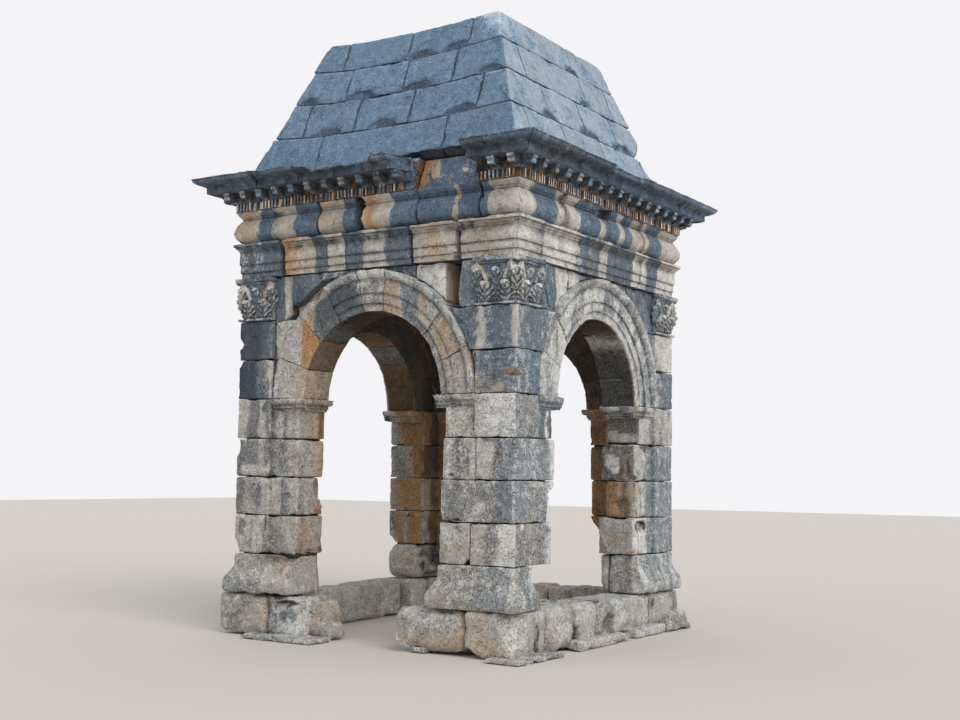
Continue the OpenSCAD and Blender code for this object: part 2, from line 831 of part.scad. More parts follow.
module roof_course_1() {
    color(stone_roof) difference() {
        roof_course(0, [-930, 927], [-623, 350]);
        roof_break(0);
    }
}
module roof_course_2() {
    color(stone_roof) difference() {
        roof_course(1, [-827, 59, 940], [-482, 330]);
        roof_break(1);
    }
}
module roof_course_3() { color(stone_roof) roof_course(2, [-750, 112, 813], [398]); }
module roof_course_4() { color(stone_roof) roof_course(3, [328], [59]); }

front_left_footing();
front_right_footing();
back_right_footing();
back_left_footing();
right_sill_wall();
back_sill_wall();
left_sill_wall();
front_left_base();
front_right_base();
back_right_base();
back_left_base();
front_left_pier();
front_right_pier();
back_right_pier();
back_left_pier();
front_left_shaft();
front_right_shaft();
back_right_shaft();
back_left_shaft();
front_left_capital();
front_right_capital();
back_right_capital();
back_left_capital();
front_arch();
right_arch();
back_arch();
left_arch();
front_architrave();
right_architrave();
back_architrave();
left_architrave();
front_frieze();
right_frieze();
back_frieze();
left_frieze();
front_cornice();
right_cornice();
back_cornice();
left_cornice();
roof_course_1();
roof_course_2();
roof_course_3();
roof_course_4();
roof_cap();
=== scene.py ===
import math

import bpy
import numpy as np
from mathutils import Matrix, Vector


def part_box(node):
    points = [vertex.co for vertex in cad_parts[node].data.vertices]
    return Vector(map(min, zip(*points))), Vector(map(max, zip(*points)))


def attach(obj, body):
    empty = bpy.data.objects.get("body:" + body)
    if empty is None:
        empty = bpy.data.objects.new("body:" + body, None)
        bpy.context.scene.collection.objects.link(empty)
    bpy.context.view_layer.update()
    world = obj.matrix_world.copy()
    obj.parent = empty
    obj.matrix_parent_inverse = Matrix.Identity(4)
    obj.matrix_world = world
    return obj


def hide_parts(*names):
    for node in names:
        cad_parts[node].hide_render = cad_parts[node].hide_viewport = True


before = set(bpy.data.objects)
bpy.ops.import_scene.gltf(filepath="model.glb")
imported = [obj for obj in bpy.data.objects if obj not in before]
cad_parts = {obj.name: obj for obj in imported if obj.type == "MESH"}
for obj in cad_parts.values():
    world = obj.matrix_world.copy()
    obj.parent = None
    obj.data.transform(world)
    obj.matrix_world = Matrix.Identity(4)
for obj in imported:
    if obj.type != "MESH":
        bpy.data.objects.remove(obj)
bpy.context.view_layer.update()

# The camera stands where the photograph's was
CAMERA_PLACE = (9.246, -13.924, 1.96)
CAMERA_YAW, CAMERA_PITCH, CAMERA_ROLL = 0.5736, 0.0872, 0.0126
CAMERA_LENS = 49.09
SENSOR = 36.0

# Sides count round from the front. Places on a side are along it, out from the
# middle of the plan, and up. Each corner is at the right end of its first side
FRONT, RIGHT, BACK, LEFT = range(4)
SIDES = ("front", "right", "back", "left")
CORNERS = {"front_right": FRONT, "back_right": RIGHT, "back_left": BACK, "front_left": LEFT}

# Half widths of the plan and levels over the ground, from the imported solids
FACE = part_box("back_right_shaft")[1].x
WALL_OUT = FACE - 0.05
WALL_IN = FACE - 0.53
ARCH_R, EXTRADOS = 0.99, 1.47
JAMB = 1.05
BASE_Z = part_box("front_left_base")[0].z
PIER_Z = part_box("front_left_pier")[0].z
SPRING_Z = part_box("front_arch")[0].z
CAPITAL_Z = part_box("front_left_capital")[0].z
ARCHITRAVE_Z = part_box("front_architrave")[0].z
FRIEZE_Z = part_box("front_frieze")[0].z
CORNICE_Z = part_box("front_cornice")[0].z
ROOF_Z = [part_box(f"roof_course_{n}")[0].z for n in (1, 2, 3, 4)] + [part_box("roof_course_4")[1].z]
ROOF_FOOT = FACE - 0.031
ROOF_SLOPE = math.tan(math.radians(21))
ROOF_DEPTH = 0.48
COURSE_H = 0.46
IMPOST_Z = PIER_Z + 3 * COURSE_H
SHAFT_H = 0.481
FOOT_FACE, FOOT_BACK = 2.06, 1.412
MIDDLE = (1.7, 1.7)

# Half the gap of a tight joint
JOINT = 0.004

# Teeth and brackets under the cornice, and where a stretch of it has fallen
MODILLION_W = 0.096
DENTIL_FACE, MODILLION_FACE = 2.105, 2.262
MODILLION_PITCH = (2 * DENTIL_FACE - MODILLION_W) / 16
DENTIL_PITCH = MODILLION_PITCH / 5
GAP = (0.794, 1.524)

# Relief of weathered stone: the height of its waves and of its finer bumps, and
# how deep its arrises are chipped and how far in that reaches
WAVES, BUMPS = 0.0045, 0.0028
CHIP_DEPTH, CHIP_REACH = 0.034, 0.035

# Steps of a surface's grid: fine ones along what shows, coarse ones elsewhere
FINE, COARSE = 0.036, 0.12

# Tones of the stone: dark crust, warm colour, pale lichen, lightness
CREAM = (0.10, 0.13, 0.32, 0.51)
PALE = (0.08, 0.06, 0.70, 0.49)
WHITE = (0.0, 0.03, 1.20, 0.56)
BEIGE = (0.34, 0.26, 0.30, 0.48)
TAN = (0.05, 0.50, 0.18, 0.52)
ORANGE = (0.02, 0.95, 0.06, 0.47)
# Warm brown darkened to stand for shade in hollows, gaps and faces turned to the hall: part stone colour,
# part painted shade
SHADED_BROWN = (0.20, 0.80, 0.02, 0.18)
SOOT = (0.45, 0.60, 0.0, 0.17)
GREY = (0.56, 0.30, 0.36, 0.50)
LILAC = (0.62, 0.42, 0.45, 0.52)
STEEL = (0.76, 0.02, 0.32, 0.56)
SLATE = (0.95, 0.05, 0.16, 0.50)
DARK = (1.20, 0.08, 0.06, 0.36)
NIGHT = (1.20, 0.0, 0.04, 0.24)
BLUE = (1.20, 0.0, 0.10, 0.60)
# Near-black painted shade for holes, pits, slots and the joints' fill
HOLLOW_SHADE = (0.60, 0.50, 0.0, 0.07)
RUST = (0.02, 1.05, 0.0, 0.37)
UMBER = (0.25, 0.85, 0.02, 0.26)
MAUVE = (0.40, 0.42, 0.35, 0.68)
# A light blue-grey that makes the far end of the right cornice lighter: painted light
PALE_BLUE_LIGHT = (0.90, 0.0, 0.40, 0.80)
STREAKED = (0.66, 0.08, 0.72, 0.53)
ASHEN = (0.35, 0.12, 0.62, 0.55)
ROOF = (0.75, 0.02, 0.20, 0.48)
# The roof's tone made lighter for its right side: painted light
ROOF_PAINTED_LIGHT = (0.34, 0.05, 0.30, 0.64)


def lattice(cell, seed):
    """A number from 0 to 1 for each cell: its three whole numbers and the seed,
    mixed by multiplying, shifting and exclusive or."""
    mixed = cell[..., 0] * 73856093 ^ cell[..., 1] * 19349663 ^ cell[..., 2] * 83492791
    mixed = (mixed ^ seed * 668265263) & 0xFFFFFFFF
    mixed = ((mixed ^ mixed >> 15) * 2246822519) & 0xFFFFFFFF
    mixed = ((mixed ^ mixed >> 13) * 3266489917) & 0xFFFFFFFF
    return ((mixed ^ mixed >> 16) & 0xFFFFFF) / 0xFFFFFF


def noise(points, size, seed):
    """Smooth noise from -1 to 1: the values at the eight corners of each cell of
    that size, blended along each axis with t * t * (3 - 2 * t)."""
    scaled = points / size
    cell = np.floor(scaled).astype(np.int64)
    t = scaled - cell
    t = t * t * (3 - 2 * t)
    total = np.zeros(points.shape[:-1])
    for corner in range(8):
        step = np.array([corner & 1, corner >> 1 & 1, corner >> 2])
        weight = np.prod(np.where(step, t, 1 - t), axis=-1)
        total += weight * lattice(cell + step, seed)
    return 2 * total - 1


def rough(points, size, seed):
    """Two noises summed, the second 0.47 times the size and half the height."""
    return noise(points, size, seed) + 0.5 * noise(points, 0.47 * size, seed + 17)


def to_world(points, side):
    """Places along, out and up on a side, turned by a quarter for each side on
    from the front."""
    along, out, up = points[..., 0], points[..., 1], points[..., 2]
    c, s = ((1, 0), (0, 1), (-1, 0), (0, -1))[side]
    return np.stack([c * along + s * out, s * along - c * out, up], axis=-1)


def smooth(value, low, high):
    """Rises from 0 at low to 1 at high with t * t * (3 - 2 * t)."""
    t = np.clip((value - low) / (high - low), 0, 1)
    return t * t * (3 - 2 * t)


def outline(corners, soft, step):
    """Closed section through the corners. A soft corner is the Bezier curve from
    its softness before it to as far after it; straight parts are split evenly.
    Also returns each point's distance from the soft outer corners, and from the
    inner ones, where the section turns the other way."""
    corners = np.asarray(corners, float)
    count = len(corners)
    soft, step = np.broadcast_to(soft, count), np.broadcast_to(step, count)
    ahead = np.roll(corners, -1, 0) - corners
    length = np.hypot(*ahead.T)
    reach = np.minimum(soft, 0.45 * np.minimum(length, np.roll(length, 1)))
    ahead = ahead / length[:, None]
    parts = []
    for i, here in enumerate(corners):
        after = (i + 1) % count
        first, last = here - reach[i] * ahead[i - 1], here + reach[i] * ahead[i]
        t = np.array([0, 0.5, 1] if reach[i] > 0 else [0])[:, None]
        parts.append((1 - t) ** 2 * first + 2 * t * (1 - t) * here + t ** 2 * last)
        target = corners[after] - reach[after] * ahead[i]
        pieces = max(int(round(np.hypot(*(target - last)) / step[i])), 1)
        parts.append(last + (np.arange(1, pieces) / pieces)[:, None] * (target - last))
    points = np.concatenate(parts)
    before = np.roll(ahead, 1, 0)
    turn = (before[:, 0] * ahead[:, 1] - before[:, 1] * ahead[:, 0])
    bend = turn * np.sign((turn * length * np.roll(length, 1)).sum())

    def distance(marked):
        if not marked.any():
            return np.full(len(points), 1.0)
        return np.sqrt(((points[:, None] - corners[marked][None]) ** 2).sum(-1)).min(1)
    return points, distance((soft > 0.004) & (bend > 0.4)), distance(bend < -0.4)


def section_normals(points):
    """Unit normals that point out of a closed section, from its tangents."""
    tangent = np.roll(points, -1, 0) - np.roll(points, 1, 0)
    area = (points[:, 0] * np.roll(points[:, 1], -1) - points[:, 1] * np.roll(points[:, 0], -1)).sum()
    normal = np.stack([tangent[:, 1], -tangent[:, 0]], -1) * (1 if area > 0 else -1)
    return normal / np.maximum(np.hypot(normal[:, 0], normal[:, 1]), 1e-9)[:, None]


def ring_rows(length, step, soft, caps):
    """Rings from end to end: place from 0 to 1, how far the section is drawn in,
    its scale, and the distance from the nearer end. Near an end the section is
    drawn in by soft - sqrt(soft^2 - (soft - distance)^2)."""
    soft = min(soft, 0.3 * length)
    near = np.array([0, 0.12, 0.45, 1.0]) * soft
    inner = max(1, int(round((length - 2 * soft) / step)))
    middle = soft + (length - 2 * soft) * np.arange(1, inner) / inner
    body = np.concatenate([near, middle, length - near[::-1]])
    end = np.minimum(body, length - body)
    left = np.clip(soft - end, 0, soft)
    drawn = soft - np.sqrt(np.maximum(soft ** 2 - left ** 2, 0))
    first = (np.arange(caps[0]) + 0.5) / (caps[0] + 0.5)
    last = ((np.arange(caps[1]) + 0.5) / (caps[1] + 0.5))[::-1]
    place = np.concatenate([np.zeros(caps[0]), body / length, np.ones(caps[1])])
    drawn = np.concatenate([np.full(caps[0], soft), drawn, np.full(caps[1], soft)])
    scale = np.concatenate([first, np.ones(len(body)), last])
    end = np.concatenate([np.zeros(caps[0]), end, np.zeros(caps[1])])
    return place, drawn, scale, end


def surface_normals(grid):
    """Unit normals of a grid of rings, from the cross product of its differences.
    They point outwards, because the sign is that of the enclosed volume."""
    across = np.roll(grid, -1, 1) - np.roll(grid, 1, 1)
    along = np.gradient(grid, axis=0)
    normal = np.cross(across, along)
    normal /= np.maximum(np.linalg.norm(normal, axis=-1), 1e-12)[..., None]
    centre = grid.reshape(-1, 3).mean(0)
    area = np.linalg.norm(np.cross(across, along), axis=-1)
    volume = (((grid - centre) * normal).sum(-1) * area).sum()
    return normal if volume > 0 else -normal


def ring_faces(rows, cols):
    """Quads between neighbouring rings, and triangles to the two poles, which
    come after the grid's points."""
    i, j = np.mgrid[0:rows - 1, 0:cols]
    k = (j + 1) % cols
    quads = np.stack([i * cols + j, i * cols + k, (i + 1) * cols + k, (i + 1) * cols + j], -1)
    j = np.arange(cols)
    k = (j + 1) % cols
    low = np.stack([k, j, np.full(cols, rows * cols)], -1)
    high = np.stack([(rows - 1) * cols + j, (rows - 1) * cols + k, np.full(cols, rows * cols + 1)], -1)
    return quads.reshape(-1, 4), np.concatenate([low, high])


def tone_at(tones, place, warp):
    """Tone of each point: one tone, or tones by place blended between them."""
    if not isinstance(tones, dict):
        return np.broadcast_to(np.asarray(tones, float), place.shape + (4,))
    values = np.array(list(tones.values())).T
    return np.stack([np.interp(place + warp, list(tones), value) for value in values], -1)


def sheltered(section):
    """How far each point of an out and up profile lies under what juts out over
    it: the steepest (out over it - its out) / (rise + 12 mm), from 0 to 1. It
    sets how much painted shade lies under a ledge."""
    out, up = section[:, 0], section[:, 1]
    rise = up[None] - up[:, None]
    reach = out[None] - out[:, None]
    slope = np.where((rise > 0.003) & (rise < 0.12), reach / (rise + 0.012), 0)
    return smooth(slope.max(1), 0.15, 1.0)


def added(name, data):
    """A new object in the scene, at its origin."""
    made = bpy.data.objects.new(name, data)
    bpy.context.scene.collection.objects.link(made)
    return made


class Masonry:
    """Closed stone surfaces that together make one piece of the monument."""

    def __init__(self, node, wear=1.0, fine=FINE, settle=None):
        self.node = node
        self.settle = settle or (lambda points: points)
        self.seed = 1 + sum((i + 1) * ord(letter) for i, letter in enumerate(node)) % 9973
        self.wear, self.fine = wear, fine
        self.points, self.quads, self.triangles, self.tones = [], [], [], []
        self.total = 0
        self.stones = 0

    def add(self, grid, tone):
        """Takes one closed surface: its rings, with a pole in the middle of the
        first and of the last."""
        rows, cols = grid.shape[:2]
        quads, triangles = ring_faces(rows, cols)
        points = np.concatenate([grid.reshape(-1, 3), grid[0].mean(0)[None], grid[-1].mean(0)[None]])
        tones = np.concatenate([tone.reshape(-1, 4), tone[0].mean(0)[None], tone[-1].mean(0)[None]])
        a, b, c, d = (points[quads[:, i]] for i in range(4))
        volume = (np.cross(a, b) * c).sum() + (np.cross(a, c) * d).sum()
        a, b, c = (points[triangles[:, i]] for i in range(3))
        volume += (np.cross(a, b) * c).sum()
        if volume < 0:
            quads, triangles = quads[:, ::-1], triangles[:, ::-1]
        self.points.append(points)
        self.quads.append(quads + self.total)
        self.triangles.append(triangles + self.total)
        self.tones.append(tones)
        self.total += len(points)

    def carry(
        self, side, section, ends, place, tone, step, caps=(2, 2), soft=0.016, wear=None, shape=(),
        unit=1.0, pivot=None, seed=None, ledge_shade=None, **colouring):
        """Carries a section between two ends and weathers the stone. ends are two
        functions of the section's two coordinates; place turns the section's
        coordinates and the place between the ends into along, out and up; unit is
        the length in metres of one unit between the ends."""
        self.stones += 1
        seed = self.seed + 101 * self.stones if seed is None else seed
        wear = self.wear if wear is None else wear
        section, edge, nook = section
        normal = section_normals(section)
        pivot = section.mean(0) if pivot is None else np.asarray(pivot, float)
        length = float(np.mean(ends[1](*section.T) - ends[0](*section.T))) * unit
        along, drawn, scale, end = ring_rows(length, step, soft, caps)
        shrunk = section[None] - normal[None] * drawn[:, None, None]
        spot = pivot + scale[:, None, None] * (shrunk - pivot)
        u, v = spot[..., 0], spot[..., 1]
        start = ends[0](u, v)
        local = place(u, v, start + (ends[1](u, v) - start) * along[:, None])
        cap = (scale < 1)[:, None]
        away = np.where(cap, np.linalg.norm(spot - shrunk, axis=-1), np.maximum(end[:, None], 0) + 0 * u)
        edges = np.where(cap, away, np.minimum(edge[None], away))
        # Painted shade near the section's inner corners
        deep = np.where(cap, 0, np.exp(-nook / 0.016)[None])
        for change in shape:
            local = change(local)
        normals = surface_normals(local)
        place_in = to_world(local, side)
        broad = WAVES * rough(place_in, 0.3, seed)
        small = BUMPS * rough(place_in, 0.075, seed + 3)
        chips = np.clip(
            noise(place_in, 0.16, seed + 5) + 0.6 * noise(place_in, 0.055, seed + 7) - 0.18, 0, 1)
        worn = chips * CHIP_DEPTH * np.exp(-edges / CHIP_REACH)
        local = local + normals * ((broad + small - worn - 0.002) * wear)[..., None]
        # and painted shade under ledges, where that is given
        deep = deep if ledge_shade is None else np.maximum(deep, np.where(cap, 0, ledge_shade[None]))
        self.add(
            self.settle(to_world(local, side)),
            self.tone_of(local, place_in, normals, edges, deep, seed, tone, **colouring))

    def tone_of(
        self, local, place, normals, edges, deep, seed, tone, inner=None, under=None, flank=None, reach=9.0,
        stains=()):
        """Tone of each point: the stone's own, then that of its inner faces, its
        underside as far out as reach, its two flanks and its stains, with pale
        worn edges and painted shade in nooks and under ledges. A stain is a
        centre, three radii and a tone."""
        along, out = local[..., 0], local[..., 1]
        mirror = np.sign(along)
        warp = 0.04 * noise(place, 0.25, 5) + 0.025 * noise(place, 0.08, 9)
        if callable(tone):
            mixed = tone(local, warp)
        else:
            level = along + mirror * np.maximum(FACE - out, 0)
            steady = np.clip(np.abs(np.abs(level) - FACE) / 0.12, 0.1, 1)
            mixed = np.array(tone_at(tone, level, warp * steady))
        hidden = WALL_OUT - 0.01
        facing = np.maximum(
            -normals[..., 1] * (np.abs(along) < hidden), -normals[..., 0] * mirror * (out < hidden))
        below = smooth(-normals[..., 2], 0.72, 0.95) * (out < reach)
        sides = smooth(np.abs(normals[..., 0]), 0.6, 0.9) * (out < reach)
        for other, weight in ((inner, smooth(facing, 0.5, 0.9)), (under, below), (flank, sides)):
            if other is not None:
                other = tone_at(other, np.maximum(np.abs(along), out), 0.4 * warp)
                mixed = mixed + (other - mixed) * weight[..., None]
        for centre, radii, other in stains:
            distance = np.linalg.norm((local - np.asarray(centre)) / np.asarray(radii), axis=-1)
            weight = smooth(1.1 - distance + 0.45 * noise(place, 0.07, 27), 0, 0.35)
            mixed = mixed + (np.asarray(other) - mixed) * weight[..., None]
        mixed[..., 3] += 0.035 * noise(place, 0.5, seed + 11)
        rubbed = np.exp(-edges / 0.014) * (0.5 + 0.5 * noise(place, 0.11, 15))
        mixed[..., 2] += 0.4 * rubbed + 0.15 * smooth(normals[..., 2], 0.3, 0.9)
        mixed[..., 0] -= 0.2 * rubbed
        # Painted shade: darker, with less lichen and more crust
        painted_shade = deep * (0.75 + 0.5 * noise(place, 0.06, 19))
        mixed[..., 3] *= 1 - 0.6 * painted_shade
        mixed[..., 2] *= 1 - 0.8 * painted_shade
        mixed[..., 0] += 0.3 * painted_shade
        return mixed

    def stone(
        self, side, corners, ends, order, tone, soft, least=0.01, steps=None, step=None, ledge_shade=False,
        **rest):
        """A stone from the corners of its section and its two ends, which are numbers
        or functions of the section. order says which of the section's two
        coordinates and the place between the ends are along, out and up."""
        section = outline(corners, soft, steps or self.fine)
        ends = [end if callable(end) else (lambda u, v, end=end: end + 0 * u) for end in ends]
        self.carry(
            side, section, ends, lambda *uvt: np.stack([uvt[k] for k in order], -1), tone,
            step or self.fine, soft=max(np.max(soft), least),
            ledge_shade=sheltered(section[0]) if ledge_shade else None, **rest)

    def course(self, side, plan, low, high, tone, soft=0.018, **rest):
        """A stone with an upright plan: corners as along and out, from low to
        high. An angled stone's ends close on a point within its corner."""
        rest.setdefault("pivot", MIDDLE if len(plan) > 4 else None)
        self.stone(side, plan, (low, high), (0, 1, 2), tone, soft, 0.012, **rest)

    def block(self, side, along, out, low, high, tone, **rest):
        """A stone with a rectangular plan."""
        self.course(side, box_plan(along, out), low, high, tone, **rest)

    def face_slab(self, side, front, low, high, tone, soft=0.014, caps=6, **rest):
        """A stone drawn by its face: corners as along and up, from low to high
        out."""
        self.stone(side, front, (low, high), (0, 2, 1), tone, soft, step=COARSE, caps=(1, caps), **rest)

    def run(self, side, profile, ends, tone, soft=0.014, ledge_shade=True, **rest):
        """A stone with a moulded profile: corners as out and up, between two ends.
        Unless turned off, it gets painted shade under its ledges.
        """
        self.stone(side, profile, ends, (2, 0, 1), tone, soft, ledge_shade=ledge_shade, **rest)

    def piece(self, slot):
        """Puts the surfaces in one mesh, which stands for the CAD node."""
        points, tones = np.concatenate(self.points), np.concatenate(self.tones)
        quads, triangles = np.concatenate(self.quads), np.concatenate(self.triangles)
        mesh = bpy.data.meshes.new(f"{self.node}_stone")
        mesh.vertices.add(len(points))
        mesh.vertices.foreach_set("co", points.astype(np.float32).ravel())
        corners = np.concatenate([quads.ravel(), triangles.ravel()])
        mesh.loops.add(len(corners))
        mesh.loops.foreach_set("vertex_index", corners.astype(np.int32))
        starts = np.concatenate([np.arange(len(quads)) * 4, 4 * len(quads) + np.arange(len(triangles)) * 3])
        mesh.polygons.add(len(starts))
        mesh.polygons.foreach_set("loop_start", starts.astype(np.int32))
        mesh.update(calc_edges=True)
        mesh.validate()
        tone = mesh.attributes.new("stone", "FLOAT_COLOR", "POINT")
        tone.data.foreach_set("color", np.clip(tones, 0, 1).astype(np.float32).ravel())
        mesh.shade_smooth()
        mesh.set_sharp_from_angle(angle=math.radians(50))
        mesh.materials.append(MATERIALS[slot])
        built = added(f"{self.node}_stone", mesh)
        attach(built, "root")
        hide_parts(self.node)


def colour(code):
    """Linear colour of a six-figure screen colour."""
    parts = [int(code[i:i + 2], 16) / 255 for i in (1, 3, 5)]
    return [p / 12.92 if p <= 0.04045 else ((p + 0.055) / 1.055) ** 2.4 for p in parts] + [1.0]


class Nodes:
    """Short names for the shader nodes of one material."""

    def __init__(self, tree):
        self.tree = tree

    def make(self, kind, links=None, **values):
        made = self.tree.nodes.new("ShaderNode" + kind)
        for name, value in values.items():
            setattr(made, name, value)
        for socket, value in (links or {}).items():
            if isinstance(value, bpy.types.NodeSocket):
                self.tree.links.new(value, made.inputs[socket])
            else:
                made.inputs[socket].default_value = value
        return made

    def texture(self, vector, scale, detail=6.0, harsh=0.6):
        return self.make(
            "TexNoise", {"Vector": vector, "Scale": scale, "Detail": detail, "Roughness": harsh}).outputs[0]

    def math(self, kind, a, b):
        return self.make("Math", {0: a, 1: b}, operation=kind).outputs[0]

    def total(self, first, *others):
        """The first value, with each other one times its weight added in turn."""
        for value, weight in others:
            first = self.math("ADD", first, self.math("MULTIPLY", value, weight))
        return first

    def product(self, first, *others):
        for value in others:
            first = self.math("MULTIPLY", first, value)
        return first

    def step(self, value, low, high, to_low=0.0, to_high=1.0):
        links = {"Value": value, "From Min": low, "From Max": high, "To Min": to_low, "To Max": to_high}
        return self.make("MapRange", links, interpolation_type="SMOOTHSTEP").outputs[0]

    def mix(self, a, b, factor, kind="MIX"):
        made = self.make("Mix", {0: factor, 6: a, 7: b}, data_type="RGBA", blend_type=kind)
        return made.outputs[2]


def stone_material(name, cream, tan, crust, crust_light, cool, lichen, rugged):
    """Limestone: cream to tan by warmth, slate crust where the tone and a broad
    noise let it grow, pale lichen in crisp specks and blots, dark pits and hair
    cracks. The tones come from the mesh's stone attribute. The less rugged, the
    fewer marks."""
    material = bpy.data.materials.new(name)
    material.use_nodes = True
    tree = material.node_tree
    tree.nodes.clear()
    n = Nodes(tree)
    place = n.make("TexCoord").outputs["Object"]
    streaked = n.make("Mapping", {"Vector": place, "Scale": (1.0, 1.0, 0.3)}).outputs[0]
    attribute = n.make("Attribute", attribute_name="stone")
    parts = n.make("SeparateColor", {0: attribute.outputs["Color"]})
    grown, warm, pale = parts.outputs[0], parts.outputs[1], parts.outputs[2]
    light = attribute.outputs["Alpha"]
    broad = n.texture(place, 2.6, 9.0, 0.68)
    streak = n.texture(streaked, 11.0, 8.0, 0.66)
    blots = n.texture(place, 10.0, 7.0, 0.66)
    fine = n.texture(place, 34.0, 5.0, 0.7)
    specks = n.texture(place, 62.0, 3.0, 0.6)
    holes = n.texture(place, 50.0, 3.0, 0.6)
    grain = n.texture(place, 120.0, 2.0, 0.6)
    body = n.mix(colour(cream), colour(tan), n.step(n.total(warm, (broad, 0.5)), 0.33, 1.25))
    slate = n.mix(colour(crust), colour(crust_light), n.step(fine, 0.38, 0.64))
    cold = n.mix(colour(cool), colour(crust_light), n.step(fine, 0.45, 0.75))
    slate = n.mix(cold, slate, n.step(warm, 0.05, 0.32))
    field = n.total(n.product(broad, 0.55), (streak, 0.25), (blots, 0.2), (grown, 0.55))
    stone = n.mix(body, slate, n.step(field, 0.67, 0.8))
    reach = n.total(n.product(specks, 0.55), (blots, 0.45), (pale, 0.17))
    scarce = 0.05 * (1 - rugged)
    spread = n.step(reach, 0.56 + scarce, 0.67 + scarce, 0.0, 0.75 - 4 * scarce)
    stone = n.mix(stone, colour(lichen), spread)
    least, most = 1 - 0.19 * rugged, 1 + 0.14 * rugged
    pits = n.step(holes, 0.36 - scarce, 0.42 - scarce, 0.45, 1.0)
    line = n.math("ABSOLUTE", n.math("SUBTRACT", n.texture(place, 5.5, 5.0, 0.62), 0.5), 0.0)
    cracks = n.math("MAXIMUM", n.step(line, 0.002, 0.014, 0.45, 1.0), n.step(broad, 0.5, 0.56, 1.0, 0.0))
    marks = n.product(pits, cracks)
    shade = n.product(
        n.step(streak, 0.34, 0.66, 0.93, 1.07), n.step(fine, 0.36, 0.66, least, most),
        n.step(blots, 0.36, 0.62, 0.93, 1.08), marks, n.product(light, 2.0))
    grey = n.make("CombineXYZ", {0: shade, 1: shade, 2: shade}).outputs[0]
    stone = n.mix(stone, grey, 1.0, "MULTIPLY")
    height = n.total(n.product(blots, 0.9), (fine, 0.8), (grain, 0.2), (marks, 0.4))
    bump = n.make("Bump", {"Height": height, "Strength": 0.9, "Distance": 0.024}).outputs[0]
    shader = n.make(
        "BsdfPrincipled",
        {"Base Color": stone, "Normal": bump, "Roughness": 0.92, "Specular IOR Level": 0.22})
    out = n.make("OutputMaterial", {"Surface": shader.outputs[0]})
    out.is_active_output = True
    return material


# Screen colours of each finish: cream, tan, crust, light crust, cool crust and
# lichen, and how rugged it is
FINISHES = {
    "foot_stone": ("#b8b4ac", "#c09d7c", "#8f8b86", "#a8a49e", "#878c8f", "#dadcdb", 1.0),
    "pier_stone": ("#b7b2aa", "#c0966c", "#848282", "#a19f9b", "#818a90", "#dadbda", 1.0),
    "upper_stone": ("#c0b9af", "#c39a72", "#6c6f74", "#878b90", "#687480", "#dee0e0", 0.5),
    "cornice_stone": ("#c3b8ab", "#c1966e", "#686c74", "#828991", "#62768c", "#dadcdc", 0.4),
    "roof_stone": ("#95a1ad", "#979c9f", "#6f7c89", "#879bae", "#6f8aa4", "#b6c3cf", 0.45)}
MATERIALS = {name: stone_material(name, *finish) for name, finish in FINISHES.items()}


def held(axis, bound, ragged, seed, pick):
    """Moves points to a bound, which is a number or a function of the points, and
    makes the new surface ragged. pick says which of the two values holds."""
    def move(points):
        limit = bound(points) if callable(bound) else bound
        limit = limit + ragged * rough(points, 0.09, seed + axis)
        moved = points.copy()
        moved[..., axis] = pick(points[..., axis], limit)
        return moved
    return move


def over(axis, bound, ragged=0.01):
    """Moves points up to a bound."""
    return held(axis, bound, ragged, 41, np.maximum)


def under(axis, bound, ragged=0.01):
    """Moves points down to a bound."""
    return held(axis, bound, ragged, 61, np.minimum)


def bite(centre, radii, ragged=0.15):
    """Pushes points that lie inside an ellipsoid away from its centre, out to its
    surface, so that a hollow is left in the stone."""
    centre, radii = np.asarray(centre, float), np.asarray(radii, float)

    def move(points):
        away = (points - centre) / (radii * (1 + ragged * noise(points, 0.07, 23))[..., None])
        distance = np.linalg.norm(away, axis=-1)
        factor = np.where(distance < 1, 1 / np.maximum(distance, 0.05), 1.0)
        return centre + (points - centre) * factor[..., None]
    return move


def facet(point, facing, ragged=0.008):
    """Pushes points beyond a plane back onto it: P - n max(0, (P - C) . n)."""
    point, facing = np.asarray(point, float), np.asarray(facing, float)
    facing = facing / np.linalg.norm(facing)

    def move(points):
        beyond = np.maximum((points - point) @ facing + ragged * rough(points, 0.1, 83), 0)
        return points - beyond[..., None] * facing
    return move


def by(axis, places, values):
    """A bound that follows a broken line along one axis."""
    return lambda points: np.interp(points[..., axis], places, values)


def corner_plan(side_a, side_b):
    """Plan of a stone with two legs at a corner, along and out on the corner's
    first side. On the next side the two swap."""
    return [
        (side_a, WALL_IN), (side_a, FACE), (FACE, FACE), (FACE, side_b), (WALL_IN, side_b),
        (WALL_IN, WALL_IN)]


def stepped_plan(side_a, side_b):
    """The same with the walls standing back from the pilaster's faces."""
    return [
        (side_a, WALL_IN), (side_a, WALL_OUT), (WALL_IN, WALL_OUT), (WALL_IN, FACE), (FACE, FACE),
        (FACE, WALL_IN), (WALL_OUT, WALL_IN), (WALL_OUT, side_b), (WALL_IN, side_b), (WALL_IN, WALL_IN)]


def legs(side):
    """The two sides that meet at a corner, each with the sign of its places."""
    return (side, 1), ((side + 1) % 4, -1)


def box_plan(along, out):
    """Plan of a square-cut stone."""
    return [(along[0], out[0]), (along[0], out[1]), (along[1], out[1]), (along[1], out[0])]


def bar(out, low, high):
    """Profile of a square-cut stone that lies along a side."""
    return [(out[0], low), (out[1], low), (out[1], high), (out[0], high)]


def tapered(amount):
    """Draws a stone in towards its foot on all sides by amount * (1 - t)^2."""
    def move(points):
        t = np.clip(points[..., 2] / 0.22, 0, 1)
        middle = points.reshape(-1, 3).mean(0)
        moved = points.copy()
        for axis in (0, 1):
            moved[..., axis] -= np.sign(points[..., axis] - middle[axis]) * amount * (1 - t) ** 2
        return moved
    return move


# How round the footing stones are
BOULDER = dict(soft=0.07, caps=(3, 6))
SLAB = dict(soft=0.03, caps=(1, 4))


